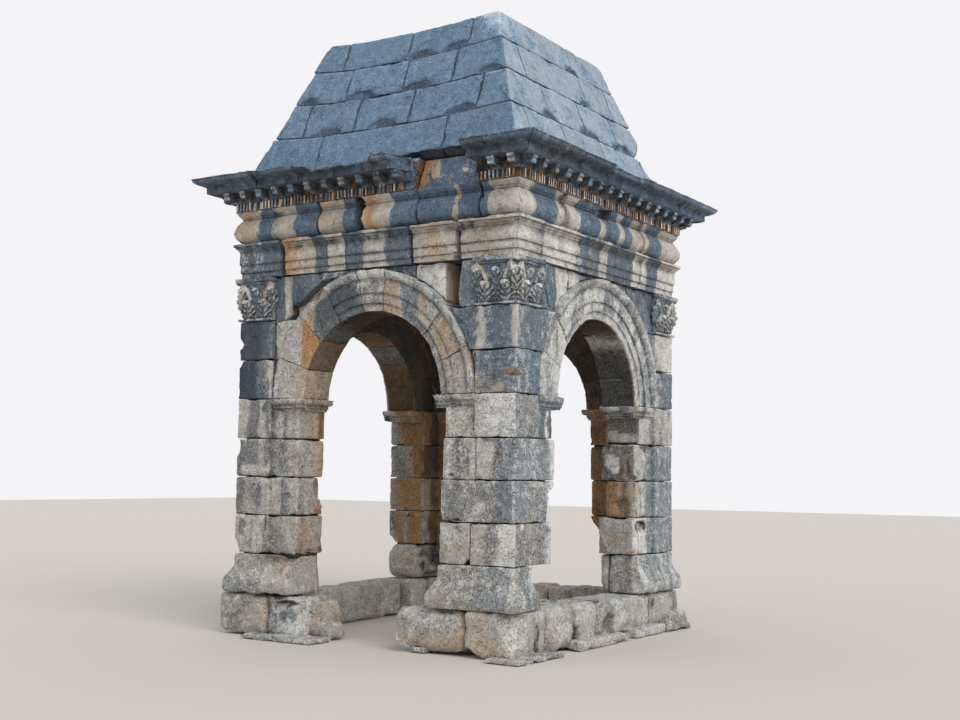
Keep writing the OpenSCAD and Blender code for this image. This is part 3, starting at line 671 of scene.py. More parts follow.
def near_footing(work, side):
    """The near corner's big block, the stones of its two legs, and flat slabs."""
    cut = facet((1.83, 2.05, 0.412), (0.709, 0.623, 0.33))
    work.block(
        side, (1.418, 2.07), (FOOT_BACK, 2.07), 0.012, BASE_Z,
        {1.4: CREAM, 1.6: TAN, 1.8: BEIGE, 2.0: CREAM, 2.3: BEIGE, 2.6: CREAM},
        shape=[
            cut, bite((1.4, 2.1, -0.01), (0.2, 0.4, 0.13)), bite((2.1, 1.62, 0.2), (0.08, 0.05, 0.16)),
            tapered(0.02)],
        # The near-black stain in the slot is painted shade
        stains=[
            ((1.99, 1.97, 0.3), (0.17, 0.17, 0.2), PALE), ((2.06, 1.62, 0.2), (0.06, 0.05, 0.16), HOLLOW_SHADE),
            ((1.62, 2.05, 0.12), (0.3, 0.1, 0.1), TAN)], soft=0.05, caps=(3, 6))
    work.block(
        side, (0.478, 1.4), (WALL_IN, 2.05), 0.02, BASE_Z - 0.006,
        {0.5: BEIGE, 0.7: PALE, 0.9: BEIGE, 1.1: CREAM, 1.3: TAN}, soft=0.1, caps=(3, 6),
        shape=[bite((0.42, 1.75, -0.06), (0.26, 0.6, 0.3)), tapered(0.04)],
        stains=[((1.05, 2.05, 0.34), (0.3, 0.1, 0.09), PALE), ((0.95, 2.05, 0.13), (0.35, 0.1, 0.1), TAN)])
    work.block(
        RIGHT, (-1.402, -0.735), (WALL_IN, 2.075), 0.0, BASE_Z + 0.026,
        {-1.4: GREY, -1.25: CREAM, -1.1: PALE, -0.85: BEIGE, -0.75: GREY}, soft=0.13, caps=(3, 6),
        shape=[bite((-0.98, 2.16, 0.25), (0.04, 0.12, 0.22)), tapered(0.03)],
        stains=[((-1.25, 2.07, 0.12), (0.12, 0.08, 0.13), TAN)])
    work.block(FRONT, (0.7, 0.92), (1.8, 2.07), 0, 0.075, GREY, **SLAB)
    work.block(FRONT, (1.78, 2.24), (1.95, 2.27), 0, 0.06, BEIGE, **SLAB)
    work.block(RIGHT, (-2.0, -1.32), (1.95, 2.25), 0, 0.07, GREY, **SLAB)


def front_left_footing(work, side):
    """Two blocks, loose stones by the way in, and a flat slab."""
    work.block(
        FRONT, (-2.19, -1.414), (FOOT_BACK, 2.05), 0.015, BASE_Z,
        {-2.2: BEIGE, -1.9: GREY, -1.6: BEIGE, -1.45: TAN}, shape=[tapered(0.02)], **BOULDER)
    work.block(
        FRONT, (-1.406, -0.88), (WALL_IN, 2.05), 0.015, BASE_Z - 0.004,
        {-1.4: BEIGE, -1.25: STEEL, -1.15: PALE, -0.95: WHITE, -0.9: CREAM},
        shape=[
            bite((-1.1, 2.1, 0.42), (0.17, 0.1, 0.035)), bite((-1.14, 2.1, 0.3), (0.03, 0.1, 0.12)),
            facet((-0.93, 2.05, 0.2), (0.8, 0.55, -0.1))],
        # The near-black and dark stains in the two hollows are painted shade
        stains=[
            ((-1.1, 2.03, 0.42), (0.17, 0.12, 0.04), HOLLOW_SHADE), ((-1.14, 2.03, 0.3), (0.03, 0.08, 0.12), DARK),
            ((-1.01, 2.03, 0.3), (0.09, 0.1, 0.1), STEEL)], **BOULDER)
    work.block(
        FRONT, (-1.02, -0.66), (1.46, 1.88), 0.0, 0.45, {-1.0: TAN, -0.85: BEIGE, -0.7: TAN}, soft=0.13,
        caps=(3, 6), wear=3.4)
    work.block(FRONT, (-0.86, -0.56), (1.55, 1.86), 0.0, 0.22, BEIGE, soft=0.09, caps=(3, 6), wear=3.2)
    work.block(LEFT, (0.99, 1.408), (WALL_IN, FOOT_FACE), 0, BASE_Z - 0.005, CREAM, **BOULDER)
    work.block(FRONT, (-1.62, -0.52), (1.9, 2.3), 0, 0.06, LILAC, **SLAB)


def back_right_footing(work, side):
    """Two long blocks over a plain lower stone, and a leaning slab."""
    work.block(
        side, (1.2, FOOT_FACE), (FOOT_BACK, FOOT_FACE), 0.1, BASE_Z,
        {1.2: GREY, 1.35: BEIGE, 1.6: CREAM, 1.95: GREY},
        shape=[bite((1.3, 2.12, 0.34), (0.045, 0.14, 0.1))],
        # The near-black stain in the hole is painted shade
        stains=[((1.3, 2.03, 0.34), (0.04, 0.1, 0.1), HOLLOW_SHADE)], **BOULDER)
    work.block(
        side, (-0.18, 1.196), (1.46, FOOT_FACE), 0.09, BASE_Z - 0.004,
        {-0.1: GREY, 0.1: GREY, 0.4: PALE, 0.7: CREAM, 1.1: PALE},
        shape=[
            bite((0.1, 2.16, 0.22), (0.24, 0.17, 0.15)), bite((0.62, 2.14, 0.13), (0.3, 0.12, 0.1)),
            bite((-0.16, 2.1, 0.5), (0.16, 0.3, 0.07))],
        stains=[
            ((0.1, 2.03, 0.22), (0.2, 0.12, 0.12), (0.75, 0.15, 0.2, 0.3)),
            ((0.65, 2.03, 0.15), (0.3, 0.1, 0.06), BEIGE)], **BOULDER)
    work.block(side, (-0.1, 2.02), (1.5, 1.96), 0.0, 0.14, GREY, soft=0.03, caps=(1, 1))
    work.block(BACK, (-1.408, -0.99), (WALL_IN, FOOT_FACE), 0, BASE_Z - 0.005, CREAM, **BOULDER)
    work.block(side, (0.62, 1.46), (1.9, 2.17), 0, 0.125, PALE, **SLAB)
    work.block(
        side, (1.54, 2.12), (1.86, 2.17), 0, 0.24, GREY, shape=[tapered(-0.06)], soft=0.06, caps=(2, 4))


def back_left_footing(work, side):
    """Plain blocks under the corner and both legs."""
    work.block(side, (FOOT_BACK, FOOT_FACE), (FOOT_BACK, FOOT_FACE), 0, BASE_Z, CREAM, **BOULDER)
    work.block(side, (0.99, 1.408), (WALL_IN, FOOT_FACE), 0, BASE_Z - 0.01, CREAM, **BOULDER)
    work.block(
        side, (WALL_IN, FOOT_FACE), (0.99, 1.408), 0, BASE_Z - 0.005,
        {1.0: TAN, 1.4: CREAM, 2.6: CREAM, 3.0: BEIGE}, **BOULDER)


def build_footings():
    """Big worn stones at each corner and under the wall legs, some on flat slabs."""
    build = {
        "front_right": near_footing, "front_left": front_left_footing, "back_right": back_right_footing,
        "back_left": back_left_footing}
    for corner, side in CORNERS.items():
        work = Masonry(f"{corner}_footing", wear=2.2, fine=0.03 if corner == "front_right" else 0.042)
        build[corner](work, side)
        work.piece("foot_stone")


def build_sills():
    """Low walls of a few stones between the footings, each with its start, end,
    inner and outer face, top and tone."""
    stones = {
        "right": [
            (-0.722, -0.212, 1.66, FOOT_FACE, 0.505, PALE), (-0.98, -0.7, 1.46, 1.67, 0.515, GREY),
            (-0.69, -0.4, 1.46, 1.65, 0.535, STEEL), (-0.39, -0.02, 1.46, 1.66, 0.5, GREY)],
        "back": [
            (-0.985, -0.665, 1.64, FOOT_FACE, 0.488, BEIGE), (-0.655, -0.33, 1.6, 2.04, 0.475, CREAM),
            (-0.32, 0.02, 1.56, 2.05, 0.492, TAN), (0.03, 0.33, 1.62, 2.03, 0.47, GREY),
            (0.34, 0.66, 1.6, FOOT_FACE, 0.5, BEIGE), (0.67, 0.985, 1.62, FOOT_FACE, 0.48, LILAC)],
        "left": [
            (-0.985, -0.5, 1.62, FOOT_FACE, 0.5, CREAM), (-0.49, 0.0, 1.6, 2.04, 0.488, BEIGE),
            (0.008, 0.49, 1.55, 2.05, 0.478, CREAM), (0.5, 0.985, 1.5, FOOT_FACE, 0.488, CREAM)]}
    for name, rows in stones.items():
        side = SIDES.index(name)
        work = Masonry(f"{name}_sill_wall", wear=2.4, fine=0.034)
        for start, end, inside, outside, top, tone in rows:
            shape, stains = (), ()
            if name == "right" and outside > 2:
                shape = [
                    bite((-0.74, 2.12, 0.1), (0.07, 0.3, 0.17)), bite((-0.2, 2.12, 0.1), (0.1, 0.3, 0.15))]
                # The near-black stain in the hollow is painted shade
                stains = [
                    ((-0.72, 2.0, 0.12), (0.06, 0.2, 0.15), HOLLOW_SHADE),
                    ((-0.47, FOOT_FACE, 0.18), (0.2, 0.1, 0.12), CREAM)]
            work.block(
                side, (start, end), (inside, outside), 0, top, tone, soft=0.075, caps=(3, 6), shape=shape,
                stains=stains)
        if name == "right":
            work.block(side, (-0.8, -0.1), (1.62, 1.93), 0, 0.4, DARK, soft=0.03, caps=(1, 2))
            work.block(side, (-0.86, 0.46), (1.9, 2.19), 0, 0.115, CREAM, soft=0.035, caps=(1, 4))
        work.piece("foot_stone")


def flare(amounts, foot=0.13, height=0.22):
    """Spreads a base's sides over its foot by 1 - t * t * (3 - 2 * t) over the
    slope. The amounts are for the near and far ends along the side and out."""
    def move(points):
        lean = 1 - smooth(points[..., 2], BASE_Z + foot, BASE_Z + foot + height)
        lean = lean * (1 - 0.15 * smooth(-points[..., 2], -BASE_Z - 0.06, -BASE_Z))
        moved = points.copy()
        for axis in (0, 1):
            low, high = points[..., axis].min(), points[..., axis].max()
            part = (points[..., axis] - low) / (high - low)
            outward = amounts[axis][1] * smooth(part, 0.5, 1) - amounts[axis][0] * smooth(1 - part, 0.5, 1)
            moved[..., axis] += lean * outward
        return moved
    return move


def near_base(work, side, heights):
    """Its leg on the right side is lost."""
    work.block(
        side, (1.0, FACE), (1.62, FACE), *heights,
        {1.0: BEIGE, 1.3: LILAC, 1.5: GREY, 1.75: STEEL, 1.95: STEEL, 1.99: PALE, 2.04: GREY, 2.3: STEEL},
        shape=[flare(((0.1, 0.055), (0.09, 0.09)))], soft=0.022,
        stains=[
            ((1.45, 2.03, 0.84), (0.45, 0.1, 0.09), LILAC), ((1.75, 2.1, 0.62), (0.24, 0.08, 0.1), BLUE),
            ((2.08, 1.9, 0.6), (0.1, 0.14, 0.12), STREAKED), ((2.0, 1.66, 0.8), (0.06, 0.05, 0.16), PALE)])
    work.block(side, (1.0, WALL_IN), (WALL_IN, 1.616), *heights, TAN)


def front_left_base(work, side, heights):
    """Broken at its top by the archway, with a few pits."""
    spots = ((-1.3, 0.86), (-1.24, 0.72), (-1.16, 0.66), (-1.12, 0.84))
    pits = [bite((x, 2.04, z), (0.02, 0.07, 0.016)) for x, z in spots]
    work.block(
        FRONT, (-FACE, -1.09), (1.5, FACE), *heights,
        {-2.0: GREY, -1.7: LILAC, -1.5: GREY, -1.43: PALE, -1.4: CREAM, -1.2: TAN, -1.1: CREAM},
        inner={1.5: TAN, 2.0: CREAM}, soft=0.03,
        shape=[flare(((0.12, 0.02), (0.0, 0.09))), bite((-1.06, 2.03, 0.98), (0.2, 0.22, 0.1)), *pits],
        stains=[
            ((-1.24, 2.0, 0.97), (0.24, 0.2, 0.07), (0.3, 0.7, 0.0, 0.26)),
            ((-1.9, 2.05, 0.62), (0.16, 0.12, 0.08), STEEL)])
    work.block(
        LEFT, (JAMB, 1.7), (WALL_IN, FACE), BASE_Z, heights[1], CREAM,
        shape=[flare(((0.05, 0.0), (0.0, 0.09)))])


def back_right_base(work, side, heights):
    """The long block has pits along its foot."""
    holes = [
        (1.26, 0.545, 0.05), (1.4, 0.535, 0.04), (1.52, 0.55, 0.05), (1.66, 0.66, 0.03),
        (1.74, 0.76, 0.025)]
    pits = [bite((y, 2.11, z), (r, 0.08, 0.7 * r)) for y, z, r in holes]
    # Dark painted shade in the pits along the foot
    dark = [((y, 2.07, z), (r, 0.08, 0.7 * r), DARK) for y, z, r in holes]
    work.block(
        side, (0.965, FACE), (1.6, FACE), *heights,
        {0.96: PALE, 1.03: WHITE, 1.1: STREAKED, 1.25: STEEL, 1.5: STEEL, 1.6: STREAKED, 1.8: STEEL,
         1.9: STREAKED}, inner={1.6: LILAC, 1.8: GREY, 1.98: BEIGE}, soft=0.024,
        shape=[flare(((0.0, 0.1), (0.0, 0.09))), *pits],
        stains=[*dark, ((1.3, 2.08, 0.58), (0.35, 0.1, 0.06), PALE)])
    work.block(
        side, (0.97, 1.3), (WALL_IN, 1.592), *heights, BEIGE, inner={1.4: PALE, 1.6: BEIGE}, soft=0.05,
        shape=[bite((0.94, 1.42, BASE_Z), (0.12, 0.13, 0.13))])
    work.block(BACK, (-1.6, -1.44), (WALL_IN, FACE), BASE_Z, heights[1], CREAM, inner=TAN)


def back_left_base(work, side, heights):
    """One stone, broken at its foot and at both ends."""
    work.course(
        side, corner_plan(JAMB, 1.1), *heights, CREAM, soft=0.12, inner={1.4: BEIGE, 1.6: TAN, 1.9: CREAM},
        shape=[
            bite((1.25, 1.25, BASE_Z + 0.02), (0.26, 0.36, 0.16)),
            bite((1.2, 1.5, PIER_Z), (0.3, 0.5, 0.16)), bite((1.95, 1.05, PIER_Z), (0.16, 0.22, 0.14))],
        stains=[((1.3, 1.35, 0.8), (0.24, 0.24, 0.3), (0.7, 0.2, 0.0, 0.16))])


def build_bases():
    """Flared stones under the piers."""
    build = {
        "front_right": near_base, "front_left": front_left_base, "back_right": back_right_base,
        "back_left": back_left_base}
    for corner, side in CORNERS.items():
        work = Masonry(f"{corner}_base", wear=1.3, fine=0.028 if corner == "front_right" else FINE)
        build[corner](work, side, (BASE_Z + JOINT, PIER_Z - JOINT))
        work.piece("foot_stone")


def bedding(work, side, level, reach, shape):
    """Fills a joint of a pier behind its faces, as far as its two legs reach, with a near-black stone that
    is painted shade deep in the joint.
    """
    (a, b), back, face = reach, WALL_IN + 0.035, WALL_OUT - 0.035
    plan = [(a, back), (a, face), (face, face), (face, b), (back, b), (back, back)]
    if max(a, b) > back:
        plan = box_plan((a, face), (b, face))
    work.course(
        side, plan, level - 0.03, level + 0.03, HOLLOW_SHADE, soft=0.004, steps=COARSE, caps=(0, 0), shape=shape,
        wear=0.2)


def impost_mouldings(work, side, tone, inside=TAN):
    """Slab and two smaller steps round the opening end of both wall legs. Each
    leg's slab is a profile of reach and height carried out through the wall."""
    top = SPRING_Z
    profile = [
        (WALL_IN + 0.02, top), (0.917, top), (0.917, top - 0.052), (0.945, top - 0.078),
        (0.995, top - 0.084), (0.995, top - 0.118), (1.02, top - 0.126), (1.02, top - 0.148),
        (1.06, top - 0.152), (WALL_IN + 0.02, top - 0.152)]
    for turn, mirror in legs(side):
        front = [(mirror * reach, up) for reach, up in profile]
        work.face_slab(turn, front, WALL_IN - 0.004, WALL_OUT, tone, soft=0.007, inner=inside, caps=4)
        bands = [
            (WALL_OUT - 0.02, top), (FACE + 0.004, top), (FACE + 0.004, top - 0.052),
            (FACE - 0.018, top - 0.08), (FACE - 0.022, top - 0.118), (WALL_OUT + 0.012, top - 0.126),
            (WALL_OUT + 0.008, top - 0.15), (WALL_OUT - 0.02, top - 0.152)]
        ends = sorted((mirror * 0.94, mirror * (WALL_IN + 0.004)))
        work.run(turn, bands, ends, tone, soft=0.007, caps=(1, 1))


def build_piers():
    """Three plain courses and an impost course with its mouldings. The joints
    are filled behind the faces, as far as each leg reaches."""
    levels = [PIER_Z + i * COURSE_H for i in range(4)] + [SPRING_Z]
    courses = [(low + 0.003, high - 0.003) for low, high in zip(levels, levels[1:4])]
    courses.append((IMPOST_Z + 0.003, SPRING_Z - 0.001))
    build = {
        "front_right": near_pier, "front_left": front_left_pier, "back_right": back_right_pier,
        "back_left": back_left_pier}
    usual = JAMB + 0.045
    short = {
        ("front_right", 0): (1.11, 1.63), ("front_right", 1): (usual, 1.39),
        ("front_right", 2): (usual, 1.2), ("front_right", 3): (usual, 1.19),
        ("back_right", 0): (usual, 1.44), ("back_left", 0): (1.56, 1.24)}
    for corner, side in CORNERS.items():
        work = Masonry(f"{corner}_pier", fine={"front_right": 0.028, "back_left": 0.044}.get(corner, 0.034))
        build[corner](work, side, courses)
        hollow = [bite((1.4, 0.96, 1.9), (0.3, 0.56, 0.42), 0)] if corner == "front_left" else ()
        for i, level in enumerate(levels):
            reach = short.get((corner, i), (usual, 1.2 if corner == "back_left" else usual))
            bedding(work, side, level, reach, hollow)
        work.piece("pier_stone")


def near_pier(work, side, courses):
    """The first three courses are of two stones. Its lowest right end has a lip,
    the next a broken one."""
    c1, c2, c3, c4 = courses
    work.block(
        side, (1.03, 1.432), (WALL_IN, 1.99), *c1,
        {1.0: BEIGE, 1.12: CREAM, 1.25: BEIGE, 1.35: CREAM, 1.4: BEIGE}, inner=TAN,
        shape=[bite((1.44, 2.02, 0.97), (0.07, 0.14, 0.05))],
        # The near-black stain in the hollow at the lip is painted shade
        stains=[((1.14, 2.0, 1.3), (0.1, 0.05, 0.12), PALE), ((1.43, 2.0, 1.0), (0.05, 0.1, 0.05), HOLLOW_SHADE)])
    holes = [((FACE, 1.793, 1.314), (0.08, 0.018, 0.045)), ((FACE, 1.596, 1.099), (0.08, 0.02, 0.045))]
    work.block(
        side, (1.44, FACE), (1.205, FACE), *c1,
        {1.44: BEIGE, 1.55: CREAM, 1.66: GREY, 1.78: BEIGE, 1.81: WHITE, 2.0: WHITE, 2.02: GREY, 2.2: GREY,
         2.45: GREY, 2.66: LILAC, 2.7: STREAKED, 2.78: WHITE}, inner=GREY,
        shape=[
            *[bite(centre, radii) for centre, radii in holes], bite((1.8, 1.3, 0.95), (0.4, 0.12, 0.05))],
        # Near-black stains in the two holes: painted shade
        stains=[(centre, radii, HOLLOW_SHADE) for centre, radii in holes] + [
            ((FACE, 1.83, 1.4), (0.1, 0.03, 0.03), WHITE), ((1.72, FACE, 1.3), (0.07, 0.05, 0.12), GREY)])
    lip = over(
        1, by(2, [1.44, 1.5, 1.68, 1.78, 1.815, 1.83, 1.9], [1.345, 1.335, 1.3, 1.3, 1.2, 1.155, 1.15]),
        0.022)
    work.course(
        side, corner_plan(1.046, 1.13), *c2,
        {1.05: LILAC, 1.2: GREY, 1.4: LILAC, 1.72: GREY, 1.8: SLATE, 1.96: SLATE, 1.98: STREAKED,
         2.02: STEEL, 2.2: STEEL, 2.4: GREY, 2.66: STEEL, 2.72: WHITE}, inner=GREY,
        shape=[lip, bite((1.26, 2.03, 1.462), (0.1, 0.07, 0.018))],
        # The near-black stain in the slot is painted shade
        stains=[
            ((1.26, 2.0, 1.47), (0.09, 0.05, 0.014), HOLLOW_SHADE),
            ((1.22, 2.0, 1.62), (0.07, 0.05, 0.1), (0.7, 0.2, 0.2, 0.38)),
            ((1.6, 2.0, 1.75), (0.1, 0.05, 0.06), (0.7, 0.2, 0.4, 0.4)),
            ((1.55, 2.0, 1.58), (0.08, 0.05, 0.06), PALE), ((FACE, 1.62, 1.46), (0.05, 0.12, 0.02), TAN),
            ((FACE, 1.45, 1.85), (0.05, 0.2, 0.03), PALE)])
    streak = (0.75, 0.3, 0.2, 0.38)
    work.block(
        side, (1.06, 1.488), (WALL_IN, 1.992), *c3,
        {1.05: CREAM, 1.13: PALE, 1.2: GREY, 1.3: LILAC, 1.38: BEIGE, 1.45: PALE}, inner=TAN, soft=0.026,
        # The near-black stain in the small notch is painted shade
        stains=[
            ((1.26, 2.0, 2.22), (0.025, 0.05, 0.14), streak), ((1.4, 2.0, 2.1), (0.03, 0.05, 0.14), streak),
            ((1.17, 2.0, 1.965), (0.045, 0.05, 0.012), HOLLOW_SHADE), ((1.1, 2.0, 2.05), (0.04, 0.05, 0.08), GREY)])
    work.block(
        side, (1.497, FACE), (1.14, FACE), *c3,
        {1.5: PALE, 1.66: PALE, 1.76: GREY, 1.84: STEEL, 1.94: STEEL, 2.15: STEEL, 2.2: STREAKED,
         2.26: STEEL, 2.4: STREAKED, 2.5: STEEL, 2.62: SLATE, 2.74: STREAKED, 2.82: WHITE}, inner=GREY,
        soft=0.026, shape=[bite((2.0, 1.1, 1.93), (0.3, 0.06, 0.16))],
        stains=[
            ((1.8, 2.0, 2.2), (0.06, 0.05, 0.12), streak), ((1.7, 2.0, 2.33), (0.12, 0.05, 0.03), streak)])
    work.course(
        side, stepped_plan(1.062, 1.11), *c4,
        {1.06: PALE, 1.5: PALE, 1.75: WHITE, 1.99: WHITE, 2.01: STEEL, 2.3: GREY, 2.5: STEEL, 2.58: DARK,
         2.66: DARK, 2.7: WHITE, 2.73: WHITE, 2.76: DARK}, inner=GREY,
        stains=[((1.08, 1.96, 2.5), (0.04, 0.05, 0.12), TAN), ((1.44, 1.96, 2.6), (0.03, 0.04, 0.2), GREY)])
    impost_mouldings(work, side, {-2.9: SLATE, -1.0: STEEL, 0.9: PALE, 1.15: BEIGE, 1.3: GREY, 1.4: PALE})


def front_left_pier(work, side, courses):
    """Long stones with the pilaster's step, much worn at the archway."""
    c1, c2, c3, c4 = courses
    plan = stepped_plan(JAMB, JAMB)
    # Dark streaks of dirt, and painted shade beside the pilaster's step
    dirt_and_shade = (0.85, 0.22, 0.25, 0.4)
    work.course(
        side, plan, *c1,
        {2.0: BEIGE, 2.15: CREAM, 2.3: GREY, 2.4: PALE, 2.44: GREY, 2.55: (0.5, 0.3, 0.2, 0.42),
         2.75: BEIGE, 2.95: CREAM},
        inner={1.48: TAN, 1.6: CREAM, 1.7: TAN, 1.85: (0.2, 0.55, 0.1, 0.4), 1.95: BEIGE}, soft=0.026,
        shape=[bite((2.05, 2.05, 0.96), (0.16, 0.16, 0.2)), bite((1.7, 0.98, 0.95), (0.6, 0.12, 0.14))],
        # The near-black spot is painted shade of a small hole
        stains=[
            ((2.0, 1.88, 1.32), (0.05, 0.05, 0.12), dirt_and_shade), ((1.97, 1.5, 1.36), (0.05, 0.02, 0.1), HOLLOW_SHADE)])
    work.course(
        side, plan, *c2,
        {2.0: GREY, 2.05: dirt_and_shade, 2.12: BEIGE, 2.35: GREY, 2.42: CREAM, 2.5: BEIGE, 2.58: CREAM, 2.66: dirt_and_shade,
         2.76: GREY, 2.8: CREAM, 2.95: CREAM}, inner={1.48: TAN, 1.7: CREAM, 1.95: BEIGE}, soft=0.026,
        shape=[bite((1.4, 0.96, 1.9), (0.25, 0.5, 0.36)), bite((2.06, 1.85, 1.62), (0.05, 0.1, 0.16))],
        stains=[
            ((2.0, 1.9, 1.78), (0.05, 0.06, 0.09), dirt_and_shade), ((2.0, 1.62, 1.66), (0.05, 0.05, 0.16), dirt_and_shade),
            ((1.5, 1.04, 1.5), (0.12, 0.06, 0.06), RUST)])
    work.course(
        side, plan, *c3,
        {2.0: BEIGE, 2.06: dirt_and_shade, 2.3: (0.7, 0.25, 0.3, 0.42), 2.4: CREAM, 2.46: dirt_and_shade, 2.54: GREY,
         2.68: GREY, 2.74: CREAM, 2.9: BEIGE}, inner={1.48: TAN, 1.6: TAN, 1.72: CREAM, 1.95: BEIGE},
        soft=0.03, shape=[bite((2.06, 2.06, 2.28), (0.14, 0.14, 0.16))],
        stains=[
            ((2.0, 1.7, 1.98), (0.06, 0.3, 0.07), PALE), ((1.5, 1.05, 1.98), (0.1, 0.06, 0.06), ORANGE)])
    work.course(
        side, plan, *c4,
        {2.0: PALE, 2.12: CREAM, 2.2: dirt_and_shade, 2.3: dirt_and_shade, 2.36: PALE, 2.44: PALE, 2.46: dirt_and_shade, 2.52: GREY,
         2.6: PALE, 2.66: dirt_and_shade, 2.72: PALE, 2.82: GREY, 2.95: CREAM},
        # The dark brown band on the jamb is part colour, part painted shade
        inner={1.48: ORANGE, 1.54: SHADED_BROWN, 1.62: TAN, 1.74: TAN, 1.85: CREAM, 1.95: BEIGE},
        stains=[((1.96, 1.55, 2.72), (0.06, 0.06, 0.1), dirt_and_shade)])
    impost_mouldings(work, side, {-1.5: GREY, -1.3: BEIGE, -1.1: CREAM, -0.9: TAN, 1.2: CREAM})


def back_right_pier(work, side, courses):
    """Its archway end stands in and out, course by course. Above the pale lowest
    course, which has two holes, the stones are broken at their arrises."""
    c1, c2, c3, c4 = courses
    plum = (0.55, 0.5, 0.12, 0.34)
    holes = [
        ((1.15, WALL_OUT + 0.02, 1.337), (0.135, 0.26, 0.056)),
        ((1.687, FACE + 0.01, 1.214), (0.024, 0.07, 0.03)),
        ((1.53, WALL_OUT + 0.03, 1.1), (0.014, 0.05, 0.03))]
    worn_leg = over(1, by(2, [0.98, 1.1, 1.3, 1.42], [1.38, 1.36, 1.16, 1.06]), 0.02)
    work.course(
        side, stepped_plan(0.93, JAMB), *c1,
        {0.92: PALE, 1.0: WHITE, 1.36: WHITE, 1.39: STEEL, 1.51: STEEL, 1.53: STREAKED, 1.56: STEEL,
         2.0: STEEL}, inner={1.47: ORANGE, 1.49: BEIGE, 1.7: CREAM, 1.84: BEIGE, 1.93: PALE},
        shape=[worn_leg, *[bite(centre, radii, 0.08) for centre, radii in holes]],
        # The near-black stains in the holes are painted shade
        stains=[(centre, (radii[0], radii[1], radii[2] * 1.05), HOLLOW_SHADE) for centre, radii in holes] + [
            ((0.93, 1.92, 1.02), (0.22, 0.16, 0.03), TAN), ((0.93, 1.68, 1.15), (0.05, 0.16, 0.06), TAN)])
    work.course(
        side, stepped_plan(1.0, JAMB), *c2,
        {1.0: CREAM, 1.06: GREY, 1.12: PALE, 1.2: GREY, 1.26: PALE, 1.31: STEEL, 1.48: SLATE,
         1.52: STREAKED, 1.6: STEEL, 2.0: STEEL},
        # The dark brown bands on the jamb are part colour, part painted shade
        inner={
            1.47: RUST, 1.52: ORANGE, 1.62: ORANGE, 1.65: SHADED_BROWN, 1.74: TAN, 1.8: SHADED_BROWN, 1.88: BEIGE,
            1.95: PALE}, soft=0.03,
        shape=[
            facet((1.0, 1.585, 1.6), (-0.7, -0.7, 0.0), 0.014), bite((0.94, 1.76, 1.6), (0.12, 0.13, 0.13)),
            bite((0.96, 1.9, 1.83), (0.07, 0.08, 0.07))],
        stains=[
            ((0.98, 1.76, 1.6), (0.1, 0.12, 0.12), (0.3, 0.65, 0.0, 0.26)),
            ((0.98, 1.62, 1.58), (0.1, 0.05, 0.22), RUST), ((1.02, 1.95, 1.75), (0.05, 0.05, 0.12), TAN)])
    work.course(
        side, stepped_plan(0.985, JAMB), *c3,
        {0.98: GREY, 1.04: PALE, 1.3: PALE, 1.35: STEEL, 1.5: SLATE, 1.53: STREAKED, 1.6: STEEL,
         2.0: STEEL}, inner={1.44: RUST, 1.5: plum, 1.9: plum, 1.97: GREY}, soft=0.035,
        shape=[
            bite((0.95, 1.76, 2.1), (0.07, 0.022, 0.12)), bite((0.95, 1.85, 2.04), (0.07, 0.02, 0.1)),
            bite((0.96, 1.9, 1.93), (0.07, 0.12, 0.05)), bite((1.08, 2.0, 1.99), (0.05, 0.06, 0.018)),
            bite((0.94, 1.5, 2.34), (0.16, 0.1, 0.07))],
        # The dark brown stains in the two grooves and the near-black one in the hole are painted shade
        stains=[
            ((0.985, 1.61, 2.12), (0.06, 0.11, 0.15), WHITE),
            ((0.985, 1.76, 2.1), (0.06, 0.024, 0.12), (0.3, 0.8, 0.0, 0.14)),
            ((0.985, 1.85, 2.04), (0.06, 0.022, 0.1), (0.3, 0.8, 0.0, 0.14)),
            ((1.08, 1.96, 1.99), (0.05, 0.05, 0.02), HOLLOW_SHADE),
            ((1.25, 1.95, 2.33), (0.2, 0.05, 0.05), (0.8, 0.2, 0.0, 0.3))])
    work.course(
        side, stepped_plan(1.11, JAMB), *c4,
        {1.1: GREY, 1.15: PALE, 1.44: PALE, 1.5: GREY, 1.56: PALE, 1.68: (0.6, 0.1, 0.6, 0.4), 1.76: PALE,
         1.86: GREY, 1.95: PALE}, inner={1.47: RUST, 1.5: plum, 1.9: plum, 1.95: GREY},
        stains=[((1.11, 1.7, 2.45), (0.05, 0.24, 0.07), PALE)])
    impost_mouldings(
        work, side, {-1.2: GREY, 0.92: plum, 1.0: PALE, 1.15: GREY, 1.22: DARK, 1.28: PALE},
        {1.47: RUST, 1.49: GREY, 1.7: PALE, 1.8: DARK, 1.9: PALE})


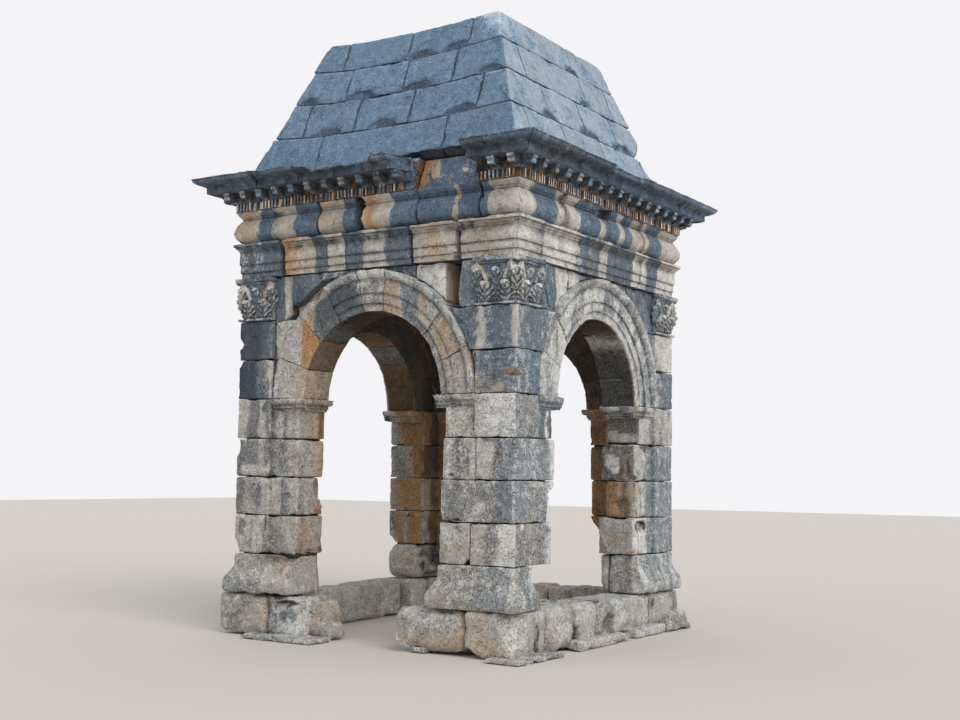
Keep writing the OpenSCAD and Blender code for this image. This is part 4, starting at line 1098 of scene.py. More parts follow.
def back_left_pier(work, side, courses):
    """Seen from the hall, where the stone has kept its orange and brown. Its hall faces are darkened as
    painted shade, most in the inner corner.
    """
    # Dark brown painted shade for the inner corner
    corner_shade = (0.35, 0.7, 0.0, 0.2)
    halls = (
        {1.41: CREAM, 1.46: ORANGE, 1.66: ORANGE, 1.68: CREAM, 1.74: CREAM, 1.76: ORANGE, 1.86: ORANGE,
         1.9: LILAC}, {1.41: TAN, 1.44: TAN, 1.47: ORANGE, 1.7: (0.05, 1.0, 0.0, 0.42), 1.95: TAN},
        {1.41: corner_shade, 1.47: RUST, 1.56: RUST, 1.62: TAN, 1.78: LILAC, 1.95: BEIGE},
        {1.41: ORANGE, 1.45: ORANGE, 1.5: RUST, 1.7: RUST, 1.8: ORANGE, 1.84: GREY, 1.95: CREAM})
    for i, ((low, high), inside) in enumerate(zip(courses, halls)):
        stains = [((1.41, 1.4, low + 0.23), (0.05, 0.1, 0.4), corner_shade)]
        shape = ()
        if i == 0:
            shape = [bite((2.0, 1.1, low), (0.16, 0.2, 0.12))]
            # The near-black spot is painted shade of a small hole
            stains.append(((1.66, 1.15, low + 0.38), (0.03, 0.05, 0.02), HOLLOW_SHADE))
        if i == 2:
            shape = [
                bite((1.39, 1.2, low + 0.02), (0.08, 0.1, 0.06)),
                bite((1.98, 1.12, high), (0.1, 0.08, 0.09))]
            # The near-black stain in the hollow is painted shade
            stains.append(((1.39, 1.2, low + 0.02), (0.08, 0.1, 0.06), HOLLOW_SHADE))
        # Painted shade: the hall faces' lightness is cut by a quarter
        inside = {place: (*tone[:3], 0.76 * tone[3]) for place, tone in inside.items()}
        plan = [(JAMB, WALL_IN), (JAMB, FACE), (FACE, FACE), (FACE, 1.15), (1.415, 1.15), (1.415, WALL_IN)]
        work.course(side, plan, low, high, GREY, inner=inside, shape=shape, stains=stains)
    impost_mouldings(work, side, BEIGE, {1.41: ORANGE, 1.7: RUST, 1.85: CREAM})


def on_ring(along, radius=EXTRADOS + 0.006):
    """Place over the arch ring: height = sqrt(radius^2 - along^2)."""
    return along, SPRING_Z + math.sqrt(max(radius ** 2 - along ** 2, 0))


def arc_line(low, high, count):
    """Points beside the arch ring between two heights over the springing: along =
    sqrt(radius^2 - height^2)."""
    radius = EXTRADOS + JOINT
    return [(math.sqrt(radius ** 2 - h * h), SPRING_Z + h) for h in np.linspace(low, high, count)]


def spandrel(work, turn, mirror, front, tone, out=WALL_OUT, back=WALL_IN, pivot=None, **rest):
    """A stone beside the arch, drawn on the right half of a side and mirrored."""
    front = [(mirror * x, z) for x, z in front]
    if pivot:
        pivot = (mirror * pivot[0], pivot[1])
    # Faces turned to the hall are dark brown: part stone colour, part painted shade
    work.face_slab(turn, front, back, out, tone, inner=SHADED_BROWN, pivot=pivot, **rest)


def build_shafts():
    """Pilaster stones over the springing, a lower and an upper one, and the
    masonry beside the arches."""
    lower = {
        "front_right": {
            -1.47: STEEL, -1.2: STREAKED, -1.0: WHITE, 1.47: (0.42, 0.14, 0.6, 0.58), 1.66: STEEL,
            1.75: STEEL, 2.0: STREAKED, 2.5: STEEL},
        "front_left": {1.9: NIGHT, 2.28: NIGHT, 2.36: SLATE, 2.46: LILAC, 2.55: CREAM},
        "back_right": {1.47: SLATE, 1.56: STREAKED, 1.7: STEEL, 2.0: STEEL}, "back_left": SLATE}
    upper = {
        "front_right": {
            -1.47: STEEL, -1.2: STREAKED, -1.0: WHITE, 1.1: SLATE, 1.45: STEEL, 1.52: PALE, 1.62: STREAKED,
            1.72: SLATE, 1.9: STEEL, 2.0: PALE, 2.06: STREAKED, 2.2: STEEL, 2.6: SLATE, 2.8: WHITE},
        "front_left": {1.9: NIGHT, 2.3: NIGHT, 2.48: SLATE, 2.54: LILAC},
        "back_right": {1.1: GREY, 1.47: STREAKED, 1.6: PALE, 2.0: WHITE}, "back_left": SLATE}
    chipped = {
        "front_right": [
            bite((FACE + 0.03, FACE + 0.02, 3.052), (0.17, 0.14, 0.04)),
            bite((1.62, FACE + 0.03, 3.322), (0.22, 0.12, 0.022))],
        "front_left": [bite((FACE + 0.02, FACE + 0.03, 3.34), (0.1, 0.1, 0.12))]}
    marks = {
        "front_right": [
            ((1.62, FACE, 2.93), (0.26, 0.06, 0.09), (0.42, 0.42, 0.2, 0.46)),
            ((FACE, FACE, 3.052), (0.16, 0.12, 0.045), (0.1, 0.8, 0.0, 0.22))]}
    low, mid, high = SPRING_Z, SPRING_Z + SHAFT_H, CAPITAL_Z
    for corner, side in CORNERS.items():
        work = Masonry(f"{corner}_shaft", fine=0.048 if corner == "back_left" else FINE)
        work.block(
            side, (WALL_IN, FACE), (WALL_IN, FACE), low + JOINT, mid - JOINT, lower[corner],
            shape=chipped.get(corner, ()), stains=marks.get(corner, ()))
        if corner == "front_right":
            back = WALL_IN - 0.02
            work.block(
                side, (back, FACE), (back, FACE), mid + 0.003, high - 0.003, upper[corner], soft=0.014,
                seed=7)
        else:
            worn = ()
            if corner == "front_left":
                worn = [bite((FACE + 0.02, FACE + 0.03, 3.52), (0.1, 0.1, 0.07))]
            work.block(
                side, (WALL_IN, FACE), (WALL_IN, FACE), mid + JOINT, high - JOINT, upper[corner],
                shape=worn)
        for turn, mirror in legs(side):
            beside = WALL_IN - 0.003
            strip = arc_line(0.003, SHAFT_H - JOINT, 4) + [(beside, mid - JOINT), (beside, low + JOINT)]
            spandrel(work, turn, mirror, strip, lower[corner], soft=[0.002] * 4 + [JOINT] * 2)
            step = arc_line(SHAFT_H + JOINT, high - low - JOINT, 5) + [
                (beside, high - JOINT), (beside, mid + JOINT)]
            if corner == "front_right":
                spandrel(
                    work, turn, mirror, step, upper[corner], out=FACE - 0.003,
                    soft=[0.01] * 5 + [0.002] * 2, seed=7)
            elif corner == "front_left" and turn == FRONT:
                spandrel(work, turn, mirror, step, PALE, out=WALL_OUT - 0.01, soft=[0.02] * 5 + [JOINT] * 2)
            else:
                spandrel(work, turn, mirror, step, SLATE, soft=[0.006] * 5 + [JOINT] * 2)
            add_upper_spandrels(work, corner, turn, mirror)
        core = (WALL_IN, WALL_OUT - 0.01)
        work.block(side, core, core, high, ARCHITRAVE_Z - 0.002, DARK)
        work.piece("upper_stone")


def add_upper_spandrels(work, corner, turn, mirror):
    """Stones between the capital and the crown of the arch, level with the
    capital. The front has lost one, and its left dark stone overhangs."""
    top, low = ARCHITRAVE_Z - JOINT, CAPITAL_Z + JOINT

    def fill(front, tone, **rest):
        spandrel(work, turn, mirror, front, tone, **rest)
    if turn == FRONT and mirror > 0:
        flank = [
            (1.232, low + 0.02), (1.262, low), (1.467, low), (1.467, top), (1.262, top),
            (1.238, top - 0.16), (1.222, top - 0.33)]
        fill(flank, {1.22: LILAC, 1.27: (0.85, 0.12, 0.3, 0.58)}, out=WALL_OUT + 0.02, soft=[0.02] * 7)
        cream = [on_ring(0.614), on_ring(0.84), on_ring(1.04), (1.04, top), (0.614, top)]
        fill(cream, {0.6: WHITE, 1.0: WHITE}, flank=TAN, out=WALL_OUT - 0.01,
             soft=[0.006, 0, 0.006, 0.008, 0.008], pivot=(0.86, 4.22))
        thin = [(0.08, top), on_ring(0.08), on_ring(0.35), on_ring(0.606), (0.606, top)]
        fill(thin, SLATE, out=WALL_OUT - 0.02, soft=0.003, pivot=(0.45, top - 0.03), caps=3)
        # A dark brown block set far back in the hollow: painted shade
        hollow = [(1.03, low - 0.1), (1.25, low - 0.1), (1.25, top), (1.03, top)]
        fill(hollow, SHADED_BROWN, out=WALL_OUT - 0.3, soft=0.01)
    elif turn == FRONT:
        pale = [(1.196, 3.87), (1.3, 3.8), (1.467, low - 0.04), (1.467, top), (1.196, top)]
        fill(pale, {-1.47: SLATE, -1.4: SLATE, -1.36: PALE, -1.19: TAN}, soft=0.01)
        dark = [
            (1.19, 3.957), (1.074, 3.976), (0.94, 4.09), (0.812, 4.181), (0.7, 4.235), (0.638, 4.252),
            (0.45, 4.262), (0.3, 4.29), (0.08, 4.31), (0.08, top), (1.19, top)]
        fill(dark, {-1.19: DARK, -0.9: SLATE, -0.5: STREAKED, -0.3: DARK}, out=WALL_OUT + 0.035,
             soft=[0.02] * 7 + [0.004] * 3 + [0.02], pivot=(0.9, 4.26), back=1.6)
        rest = [(0.3, 4.28), (0.7, 4.16), (1.0, 3.93), (1.19, 3.72), (1.19, 4.1), (0.7, 4.3)]
        fill(rest, {-1.2: CREAM, -1.05: TAN, -0.9: ORANGE}, out=WALL_OUT - 0.1, soft=0.01,
             pivot=(0.95, 4.06))
    else:
        radius = EXTRADOS + JOINT
        tone = {-1.4: SLATE, 0: PALE, 1.2: SLATE}
        if turn == RIGHT:
            tone = {
                -1.47: STEEL, -1.14: STEEL, -1.06: WHITE, -0.75: WHITE, -0.5: STREAKED, -0.4: STEEL,
                0.5: STEEL, 0.9: STEEL, 1.0: STREAKED, 1.15: STEEL, 1.47: SLATE}
        outer = [(1.25, low), (1.467, low), (1.467, top), (1.25, top)]
        fill(outer, tone, out=WALL_OUT + (0.03 if corner == "front_right" else 0), soft=0.008)
        inner = [(1.244, low - 0.15)] + [on_ring(x, radius) for x in (1.1, 0.95, 0.75)]
        inner += [(0.75, top), (1.244, top)]
        fill(inner, tone, soft=[0.004] * 4 + [0.006] * 2, pivot=(1.05, 4.15))
        thin = [on_ring(x, radius) for x in (0.742, 0.5, 0.25, 0.08)] + [(0.08, top), (0.742, top)]
        fill(thin, tone, soft=0.003, pivot=(0.55, top - 0.04), caps=3)


def banded(face, hood, lip):
    """Tone of an arch stone: its face's along the side, and those of its hood and
    its lip at the ring's outer and inner edge."""
    def tone(local, warp):
        radius = np.hypot(local[..., 0], local[..., 2] - SPRING_Z) + 0.3 * warp
        mixed = np.array(tone_at(face, local[..., 0], warp))
        for other, weight in ((hood, smooth(radius, 1.35, 1.39)), (lip, smooth(-radius, -1.13, -1.07))):
            mixed = mixed + (np.asarray(other) - mixed) * weight[..., None]
        return mixed
    return tone


def turned(radius, out, angle):
    """Place of a point of the arch's section at an angle from the springing."""
    return np.stack([radius * np.cos(angle), out, SPRING_Z + radius * np.sin(angle)], -1)


def build_arches():
    """Nine wedge stones round each arch, with two flat bands and a hood: the
    section of radius and depth is carried round the arch's middle."""
    crisp = [
        (ARCH_R, WALL_IN), (ARCH_R, 1.957), (1.084, 1.957), (1.086, 1.972), (1.2, 1.972), (1.202, 1.988),
        (1.368, 1.988), (1.374, 2.004), (1.402, 2.03), (1.43, 2.046), (EXTRADOS, 2.046),
        (EXTRADOS, WALL_IN)]
    worn = [
        (ARCH_R, WALL_IN), (ARCH_R, 1.957), (1.084, 1.962), (1.13, 1.966), (1.2, 1.97), (1.26, 1.974),
        (1.3, 1.972), (1.34, 1.974), (1.38, 1.98), (1.42, 1.985), (EXTRADOS, 1.975), (EXTRADOS, WALL_IN)]
    crisp_soft = [0.01, 0.01, 0.003, 0.003, 0.003, 0.003, 0.004, 0, 0, 0.008, 0.01, 0.01]
    joints = {"front": (0, 20.7, 42.6, 62.6, 80.7, 96.5, 117.3, 137.2, 160.1, 180)}
    edges = {
        "front": [
            (GREY, BEIGE), (STREAKED, GREY), (STREAKED, SLATE), (PALE, TAN), (WHITE, BEIGE),
            (STREAKED, DARK), (BEIGE, DARK), (CREAM, ORANGE), (PALE, TAN)],
        "right": [
            (STREAKED, WHITE), (STREAKED, PALE), (GREY, WHITE), (STREAKED, WHITE), (ASHEN, PALE),
            (GREY, WHITE), (STREAKED, STREAKED), (GREY, WHITE), (PALE, WHITE)]}
    ink = (1.2, 0.05, 0.05, 0.26)
    # Soffits and the joints between arch stones are painted shade: near-black brown, grey on three of the
    # right arch's stones
    deepest_soffit_shade, brown_soffit_shade, grey_soffit_shade = (0.3, 0.6, 0.0, 0.06), (0.15, 0.8, 0.0, 0.14), (0.9, 0.25, 0.05, 0.16)
    soffit_shade_tones = {
        "front": [brown_soffit_shade, brown_soffit_shade, deepest_soffit_shade, deepest_soffit_shade, deepest_soffit_shade, deepest_soffit_shade, deepest_soffit_shade, (0.3, 0.6, 0.05, 0.24), TAN],
        "right": [grey_soffit_shade, grey_soffit_shade, grey_soffit_shade] + [deepest_soffit_shade] * 6}
    tones = {
        "front": [
            {1.0: BEIGE, 1.4: CREAM}, {0.7: LILAC, 0.85: GREY, 0.95: TAN, 1.2: TAN},
            {0.5: SLATE, 0.66: SLATE, 0.7: TAN, 0.9: CREAM, 0.95: GREY},
            {0.2: TAN, 0.45: TAN, 0.48: SLATE, 0.6: SLATE}, {-0.15: LILAC, 0.1: LILAC, 0.2: PALE},
            {-0.6: ink, -0.25: ink, -0.16: SLATE, -0.12: LILAC},
            {-1.0: ORANGE, -0.86: TAN, -0.8: ink, -0.5: ink}, {-1.3: CREAM, -1.05: PALE, -0.98: ORANGE},
            {-1.45: CREAM, -1.2: CREAM, -1.0: TAN}],
        "right": [
            {1.0: WHITE, 1.15: STREAKED}, {0.8: WHITE, 1.1: STREAKED},
            {0.6: STREAKED, 0.75: WHITE, 0.9: STEEL}, {0.3: STEEL, 0.45: WHITE, 0.5: STEEL, 0.6: PALE},
            {-0.2: WHITE, 0: WHITE, 0.05: STEEL, 0.2: STEEL}, {-0.6: PALE, -0.45: STEEL, -0.4: WHITE},
            {-1.0: STREAKED, -0.8: WHITE, -0.7: STEEL, -0.6: PALE},
            {-1.3: WHITE, -1.1: PALE, -1.05: STEEL, -0.95: WHITE},
            {-1.4: PALE, -1.2: STREAKED, -1.0: PALE}]}
    plain = [TAN, GREY, CREAM, SLATE, PALE, GREY, SLATE, TAN, CREAM]
    chipped = {
        ("front", 6): [
            bite((-0.86, 2.03, 4.1), (0.2, 0.09, 0.2)), bite((-0.7, 2.02, 4.24), (0.16, 0.1, 0.1))],
        ("front", 7): [bite((-1.32, 2.03, 3.8), (0.07, 0.1, 0.16))],
        ("right", 6): [bite((-1.18, 2.03, 3.7), (0.12, 0.06, 0.1))]}
    for turn, name in enumerate(SIDES):
        work = Masonry(f"{name}_arch", fine=0.034)
        places = np.radians(joints.get(name, np.linspace(0, 180, 10)))
        worn_from = {"front": 6, "right": 7}.get(name, 9)
        for i, (start, end) in enumerate(zip(places, places[1:])):
            profile, soft = (worn, 0.012) if i >= worn_from else (crisp, crisp_soft)
            section = outline(profile, soft, [work.fine] * 10 + [0.12, 0.06])
            painted_soffit = soffit_shade_tones.get(name, [brown_soffit_shade] * 9)[i]
            start, end = start + 0.0014, end - 0.0014
            tone = banded(tones.get(name, plain)[i], *edges[name][i]) if name in edges else plain[i]
            work.carry(
                turn, section, (lambda u, v, a=start: a + 0 * u, lambda u, v, a=end: a + 0 * u), turned,
                tone, work.fine, soft=0.006, unit=1.23, inner=SOOT, wear=0.8, flank=painted_soffit, under=painted_soffit,
                reach=WALL_OUT - 0.005, pivot=(1.2, 1.75), caps=(2, 2), shape=chipped.get((name, i), ()))
        key = math.tan(math.radians(7.5))
        low, high = EXTRADOS, ARCHITRAVE_Z - SPRING_Z
        foot, head = SPRING_Z + low - 0.03, SPRING_Z + high - 0.002
        front = [(-key * low, foot), (-key * high, head), (key * high, head), (key * low, foot)]
        work.face_slab(turn, front, WALL_IN, WALL_OUT - 0.01, GREY, caps=2, soft=0.004)
        work.piece("pier_stone")


def mitre(u, v):
    """End of a run that meets the next side's, where along equals out."""
    return u


def mitre_back(u, v):
    """The other end, where along equals minus out."""
    return -u


def blocks(joints, gap=0.008):
    """Ends of the blocks between joints, which are places or (place, width)."""
    ends, start = [], mitre_back
    for joint in joints:
        place, width = joint if isinstance(joint, tuple) else (joint, gap)
        ends.append((start, place - width / 2))
        start = place + width / 2
    return ends + [(start, mitre)]


def moulding(work, turn, profile, ends, tone, top=COARSE, caps=(3, 3), **rest):
    """A block of a moulded run. Its section has wide steps under it, on it and
    inside, and the two far sides have wider ones along them."""
    steps = [COARSE] + [FINE] * (len(profile) - 3) + [top, COARSE]
    work.run(
        turn, profile, ends, tone, steps=steps, step=0.034 if turn in (FRONT, RIGHT) else 0.05,
        pivot=(1.8, profile[0][1] + 0.2), caps=caps, **rest)


def build_architraves():
    """Three flat bands and a crown moulding, in blocks that have drawn apart on
    the front."""
    z = ARCHITRAVE_Z + 0.002
    profile = [
        (WALL_IN, z), (FACE, z), (FACE, z + 0.068), (FACE + 0.012, z + 0.07), (FACE + 0.012, z + 0.168),
        (FACE + 0.024, z + 0.17), (FACE + 0.024, z + 0.328), (FACE + 0.036, z + 0.336),
        (FACE + 0.04, z + 0.352), (FACE + 0.062, z + 0.372), (FACE + 0.068, z + 0.388),
        (FACE + 0.084, z + 0.392), (FACE + 0.086, z + 0.431), (WALL_IN, z + 0.431)]
    soft = [0.008, 0.006, 0.003, 0.003, 0.003, 0.003, 0.003, 0.003, 0.003, 0.003, 0.003, 0.003, 0.01, 0.01]
    joints = {"front": [(-1.318, 0.07), -0.356, (0.602, 0.045), (1.24, 0.066)], "right": [-0.402, 0.295]}
    tones = {
        "front": [
            {-2.05: STREAKED, -1.86: LILAC, -1.8: SLATE, -1.74: STREAKED, -1.64: STREAKED, -1.58: SLATE},
            {-1.28: TAN, -1.25: ORANGE, -1.1: TAN, -1.0: CREAM, -0.83: CREAM, -0.79: SLATE, -0.64: SLATE,
             -0.6: PALE, -0.36: PALE},
            {-0.35: SLATE, -0.12: SLATE, -0.06: ASHEN, 0.1: (0.45, 0.3, 0.5, 0.58), 0.25: ASHEN,
             0.3: SLATE}, {0.62: CREAM, 0.9: TAN, 1.15: CREAM, 1.2: CREAM},
            {1.27: GREY, 1.34: CREAM, 1.68: TAN, 1.74: CREAM, 1.96: WHITE}],
        "right": [
            {-2.0: WHITE, -1.6: PALE, -1.5: GREY, -1.38: WHITE, -0.75: WHITE, -0.6: STREAKED, -0.5: SLATE},
            {-0.4: LILAC, -0.22: SLATE, -0.1: PALE, 0.02: PALE, 0.1: SLATE, 0.29: SLATE},
            {0.3: SLATE, 0.72: SLATE, 0.78: WHITE, 0.92: PALE, 0.98: GREY, 1.02: WHITE, 1.14: PALE,
             1.2: SLATE, 1.42: SLATE, 1.48: WHITE, 2.1: WHITE}]}
    plain = [
        {-2: PALE, -1.6: SLATE}, {-1.2: CREAM, -0.9: TAN, -0.8: SLATE}, {-0.4: SLATE, 0: PALE, 0.3: SLATE},
        {0.4: CREAM, 0.8: CREAM, 0.9: SLATE}, {1.3: SLATE, 1.7: PALE}]
    for turn, name in enumerate(SIDES):
        work = Masonry(f"{name}_architrave", wear=0.8)
        for i, ends in enumerate(blocks(joints.get(name, [-1.25, -0.4, 0.35, 1.25]))):
            shape = ()
            if name == "front" and i == 3:
                shape = [bite((1.25, 2.0, z - 0.03), (0.1, 0.5, 0.13), 0.05)]
            # Faces turned to the hall are dark brown, part painted shade
            moulding(
                work, turn, profile, ends, tones.get(name, plain)[i], soft=soft, inner=SHADED_BROWN, under=GREY,
                shape=shape)
        work.piece("upper_stone")


def build_friezes():
    """Bulging blocks with the bed moulding cut on them. Each has come out of the
    wall a little more or less than its neighbours."""
    z = FRIEZE_Z + 0.002
    bulge = [(FACE + 0.08 * math.sin(math.pi * t ** 0.85), z + 0.306 * t) for t in np.linspace(0, 1, 12)]
    bed = [
        (FACE + 0.014, z + 0.312), (FACE + 0.014, z + 0.328), (FACE + 0.024, z + 0.334),
        (FACE + 0.04, z + 0.352), (FACE + 0.052, z + 0.374), (FACE + 0.056, z + 0.378),
        (FACE + 0.056, z + 0.398)]
    profile = [(WALL_IN, z)] + bulge + bed + [(WALL_IN, z + 0.398)]
    soft = [0.01] + [0.0] * len(bulge) + [0.003] * 4 + [0] + [0.003] * 2 + [0.01]
    joints = {
        "front": [(-1.466, 0.01), (-0.74, 0.034), (-0.127, 0.13), (0.702, 0.01), (1.55, 0.028)],
        "right": [(-1.03, 0.096), -0.212, 0.101, 0.424, 0.999, 1.494]}
    sets = {"front": [0, 0.014, 0.006, 0.024, -0.004, 0], "right": [0, 0.01, -0.012, 0.012, 0.004, 0.01, 0]}
    tones = {
        "front": [
            {-2.0: CREAM, -1.9: TAN, -1.72: CREAM, -1.67: WHITE, -1.63: SLATE},
            {-1.46: GREY, -1.34: BEIGE, -1.28: CREAM, -1.09: PALE, -1.06: SLATE, -0.76: SLATE},
            {-0.72: TAN, -0.5: CREAM, -0.37: CREAM, -0.34: SLATE, -0.2: SLATE},
            {-0.06: TAN, 0.06: ORANGE, 0.14: CREAM, 0.32: PALE, 0.36: SLATE, 0.7: SLATE},
            {0.71: SLATE, 1.18: SLATE, 1.21: PALE, 1.25: TAN, 1.29: SLATE, 1.53: DARK},
            {1.56: SLATE, 1.63: SLATE, 1.68: CREAM, 1.9: PALE, 2.1: WHITE}],
        "right": [
            {-2.1: WHITE, -1.8: WHITE, -1.7: STEEL, -1.3: STEEL, -1.2: WHITE, -1.1: PALE},
            {-0.98: PALE, -0.78: WHITE, -0.7: STEEL, -0.22: SLATE},
            {-0.2: WHITE, -0.06: PALE, -0.01: SLATE, 0.09: SLATE},
            {0.11: STEEL, 0.22: SLATE, 0.32: WHITE, 0.42: PALE},
            {0.43: SLATE, 0.66: STEEL, 0.71: PALE, 0.98: LILAC},
            {1.0: PALE, 1.12: LILAC, 1.18: SLATE, 1.48: SLATE}, {1.5: PALE, 2.1: WHITE}]}
    plain = [
        {-2.1: PALE, -1.7: SLATE}, {-1.5: CREAM, -1.2: PALE, -1.1: SLATE},
        {-0.6: PALE, -0.2: CREAM, -0.1: SLATE}, {0.3: CREAM, 0.8: TAN, 0.9: SLATE}, {1.5: SLATE, 1.9: PALE}]
    for turn, name in enumerate(SIDES):
        work = Masonry(f"{name}_frieze", wear=0.9)
        for i, ends in enumerate(blocks(joints.get(name, [-1.49, -0.62, 0.24, 1.49]))):
            moved = sets.get(name, [0] * 7)[i]
            cuts = [lambda points, moved=moved: points + np.array([0, moved, 0])]
            if name == "right" and i == 2:
                cuts.append(under(1, lambda p: np.where(p[..., 2] > z + 0.29, 1.93, 9.0)))
            if name == "front" and i == 5:
                cuts.append(bite((1.52, 2.1, z + 0.33), (0.05, 0.12, 0.1)))
            # Faces turned to the hall are dark brown, part painted shade
            moulding(
                work, turn, profile, ends, tones.get(name, plain)[i], soft=soft, inner=SHADED_BROWN, shape=cuts)
        # Dark brown blocks behind the open joints: painted shade in the gaps
        for joint in joints.get(name, []):
            if isinstance(joint, tuple) and joint[1] > 0.05:
                work.run(
                    turn, bar((WALL_IN, 1.8), z, z + 0.39), (joint[0] - 0.08, joint[0] + 0.08), SHADED_BROWN,
                    soft=0.01)
        work.piece("cornice_stone")


def missing(turn, place):
    """True in the stretch of the front where the cornice has fallen away."""
    return turn == FRONT and 0.54 < place < GAP[1] + 0.04


def shaded(face, wall):
    """Tone of a cornice block: its face's, and that of the wall under it."""
    def tone(local, warp):
        mixed = np.array(tone_at(face, local[..., 0], warp))
        weight = smooth(-local[..., 1], -2.2, -2.12) * smooth(CORNICE_Z + 0.27 - local[..., 2], 0.0, 0.05)
        return mixed + (tone_at(wall, local[..., 0], 3 * warp) - mixed) * weight[..., None]
    return tone


def build_cornices():
    """Dentils, modillions, a flat face and a top moulding. On the front a stretch
    has fallen, and left of it the top moulding is worn and then gone."""
    z = CORNICE_Z + 0.002
    curve = [
        (2.345 + 0.115 * math.sin(math.pi / 2 * t) ** 0.8, z + 0.292 + 0.078 * t)
        for t in np.linspace(0, 1, 9)]
    profile = [
        (WALL_IN, z), (2.067, z), (2.067, z + 0.088), (2.105, z + 0.09), (2.105, z + 0.21),
        (2.322, z + 0.206), (2.33, z + 0.212), (2.33, z + 0.284),
        (2.334, z + 0.288)] + curve + [(2.465, z + 0.372), (2.465, z + 0.392), (WALL_IN, z + 0.394)]
    soft = [0.01, 0.006, 0.004, 0.004, 0.006, 0.004, 0.004, 0.003, 0.003] + [0] * 9 + [0.004, 0.008, 0.01]
    joints = {"front": [-1.5, -0.84, -0.3, (1.159, GAP[1] - GAP[0])], "right": [-0.49, 0.18, 1.518]}
    tones = {
        "front": [
            {-2.4: BLUE, -1.5: BLUE}, SLATE, {-0.8: DARK, -0.4: DARK},
            {-0.2: DARK, 0.1: SLATE, 0.3: GREY, 0.5: STREAKED, 0.56: BLUE}, {1.52: GREY, 1.9: STEEL}],
        # The far end of the right side is painted lighter and bluer: painted light
        "right": [{-2.4: STEEL, -1.8: GREY, -0.5: SLATE}, SLATE, BLUE, {1.5: BLUE, 1.9: PALE_BLUE_LIGHT}]}
    # Tones of the wall behind the teeth and brackets; its pale mauve parts are lightened as painted light
    walls = {
        "front": {
            -2.2: MAUVE, -1.3: MAUVE, -1.1: UMBER, -0.9: SHADED_BROWN, -0.3: UMBER, 0.0: SHADED_BROWN, 0.3: BEIGE,
            0.5: UMBER, 0.55: BLUE, 0.66: BLUE, 1.5: SHADED_BROWN, 1.8: UMBER, 2.1: UMBER},
        "right": {
            -2.1: UMBER, -1.7: RUST, -1.3: RUST, -0.9: MAUVE, -0.5: RUST, 0.0: MAUVE, 0.5: RUST, 0.8: MAUVE,
            2.2: MAUVE}}
    # Painted light on the cornice's undersides: lighter than their shade, most on the right side
    lit_undersides = {"front": (0.8, 0.2, 0.1, 0.55), "right": (0.9, 0.02, 0.15, 1.0)}
    crest = by(
        0, [-1.5, -1.47, -1.36, -1.3, -0.9, -0.8, -0.66, -0.6, 0.0, 0.22, 0.3, 0.56, 0.66],
        [z + 0.45, z + 0.385, z + 0.365, z + 0.37, z + 0.375, z + 0.335, z + 0.335, z + 0.3, z + 0.305,
         z + 0.32, z + 0.385, z + 0.37, z + 0.34])
    lip = by(
        0, [-1.5, -1.4, -0.7, -0.64, 0.2, 0.26, 0.52, 0.56, 0.59],
        [2.6, 2.47, 2.44, 2.36, 2.345, 2.39, 2.37, 2.25, 2.1])

    def broken(out, up):
        """The broken end: it slants in towards the wall."""
        return 0.645 - np.clip(2.1 - out, 0, 0.25) * (0.42 - 1.2 * (up - z))

    def low_crest(points):
        """The worn top, but not over the wall."""
        return np.where(points[..., 1] > 1.97, crest(points), 9.0)

    def middle_lip(points):
        """The right side's middle block has lost its top moulding."""
        along, up = points[..., 0], points[..., 2]
        return np.where((up > z + 0.29) & (along > -0.532) & (along < 0.274), 2.4, 9.0)

    def far_lip(points):
        """The blocks beyond it have lost their topmost edge."""
        return np.where((points[..., 2] > z + 0.33) & (points[..., 0] > 0.274), 2.455, 9.0)

    cuts = {
        "front": [under(2, low_crest, 0.024), under(1, lip, 0.02)],
        "right": [under(1, middle_lip, 0.022), under(1, far_lip, 0.02)]}
    flanks = {"front": (0.25, 0.7, 0.0, 0.22)}
    # A lighter blue-grey patch on the broken end of the front's last block: blue-grey stone, with its
    # lightness raised as painted light
    stains = {"front": [((0.6, 2.1, z + 0.2), (0.09, 0.16, 0.32), BLUE)]}
    for turn, name in enumerate(SIDES):
        work = Masonry(f"{name}_cornice", wear=0.9)
        for i, ends in enumerate(blocks(joints.get(name, [-1.5, -0.49, 0.4, 1.5]))):
            if name == "front" and i == 3:
                ends = (ends[0], broken)
            tone = shaded(tones[name][i], walls[name]) if name in tones else DARK
            # Faces turned to the hall are dark brown, part painted shade
            moulding(
                work, turn, profile, ends, tone, soft=soft,
                inner=None if name == "front" and i > 2 else SHADED_BROWN, under=lit_undersides.get(name, SHADED_BROWN),
                reach=2.325, flank=flanks.get(name),
                shape=() if name == "front" and i == 4 else cuts.get(name, ()), stains=stains.get(name, ()),
                top=FINE if name == "front" else COARSE, caps=(4, 5))
        if name == "front":
            add_backing(work, z)
        add_dentils(work, turn)
        add_modillions(work, turn)
        work.piece("cornice_stone")


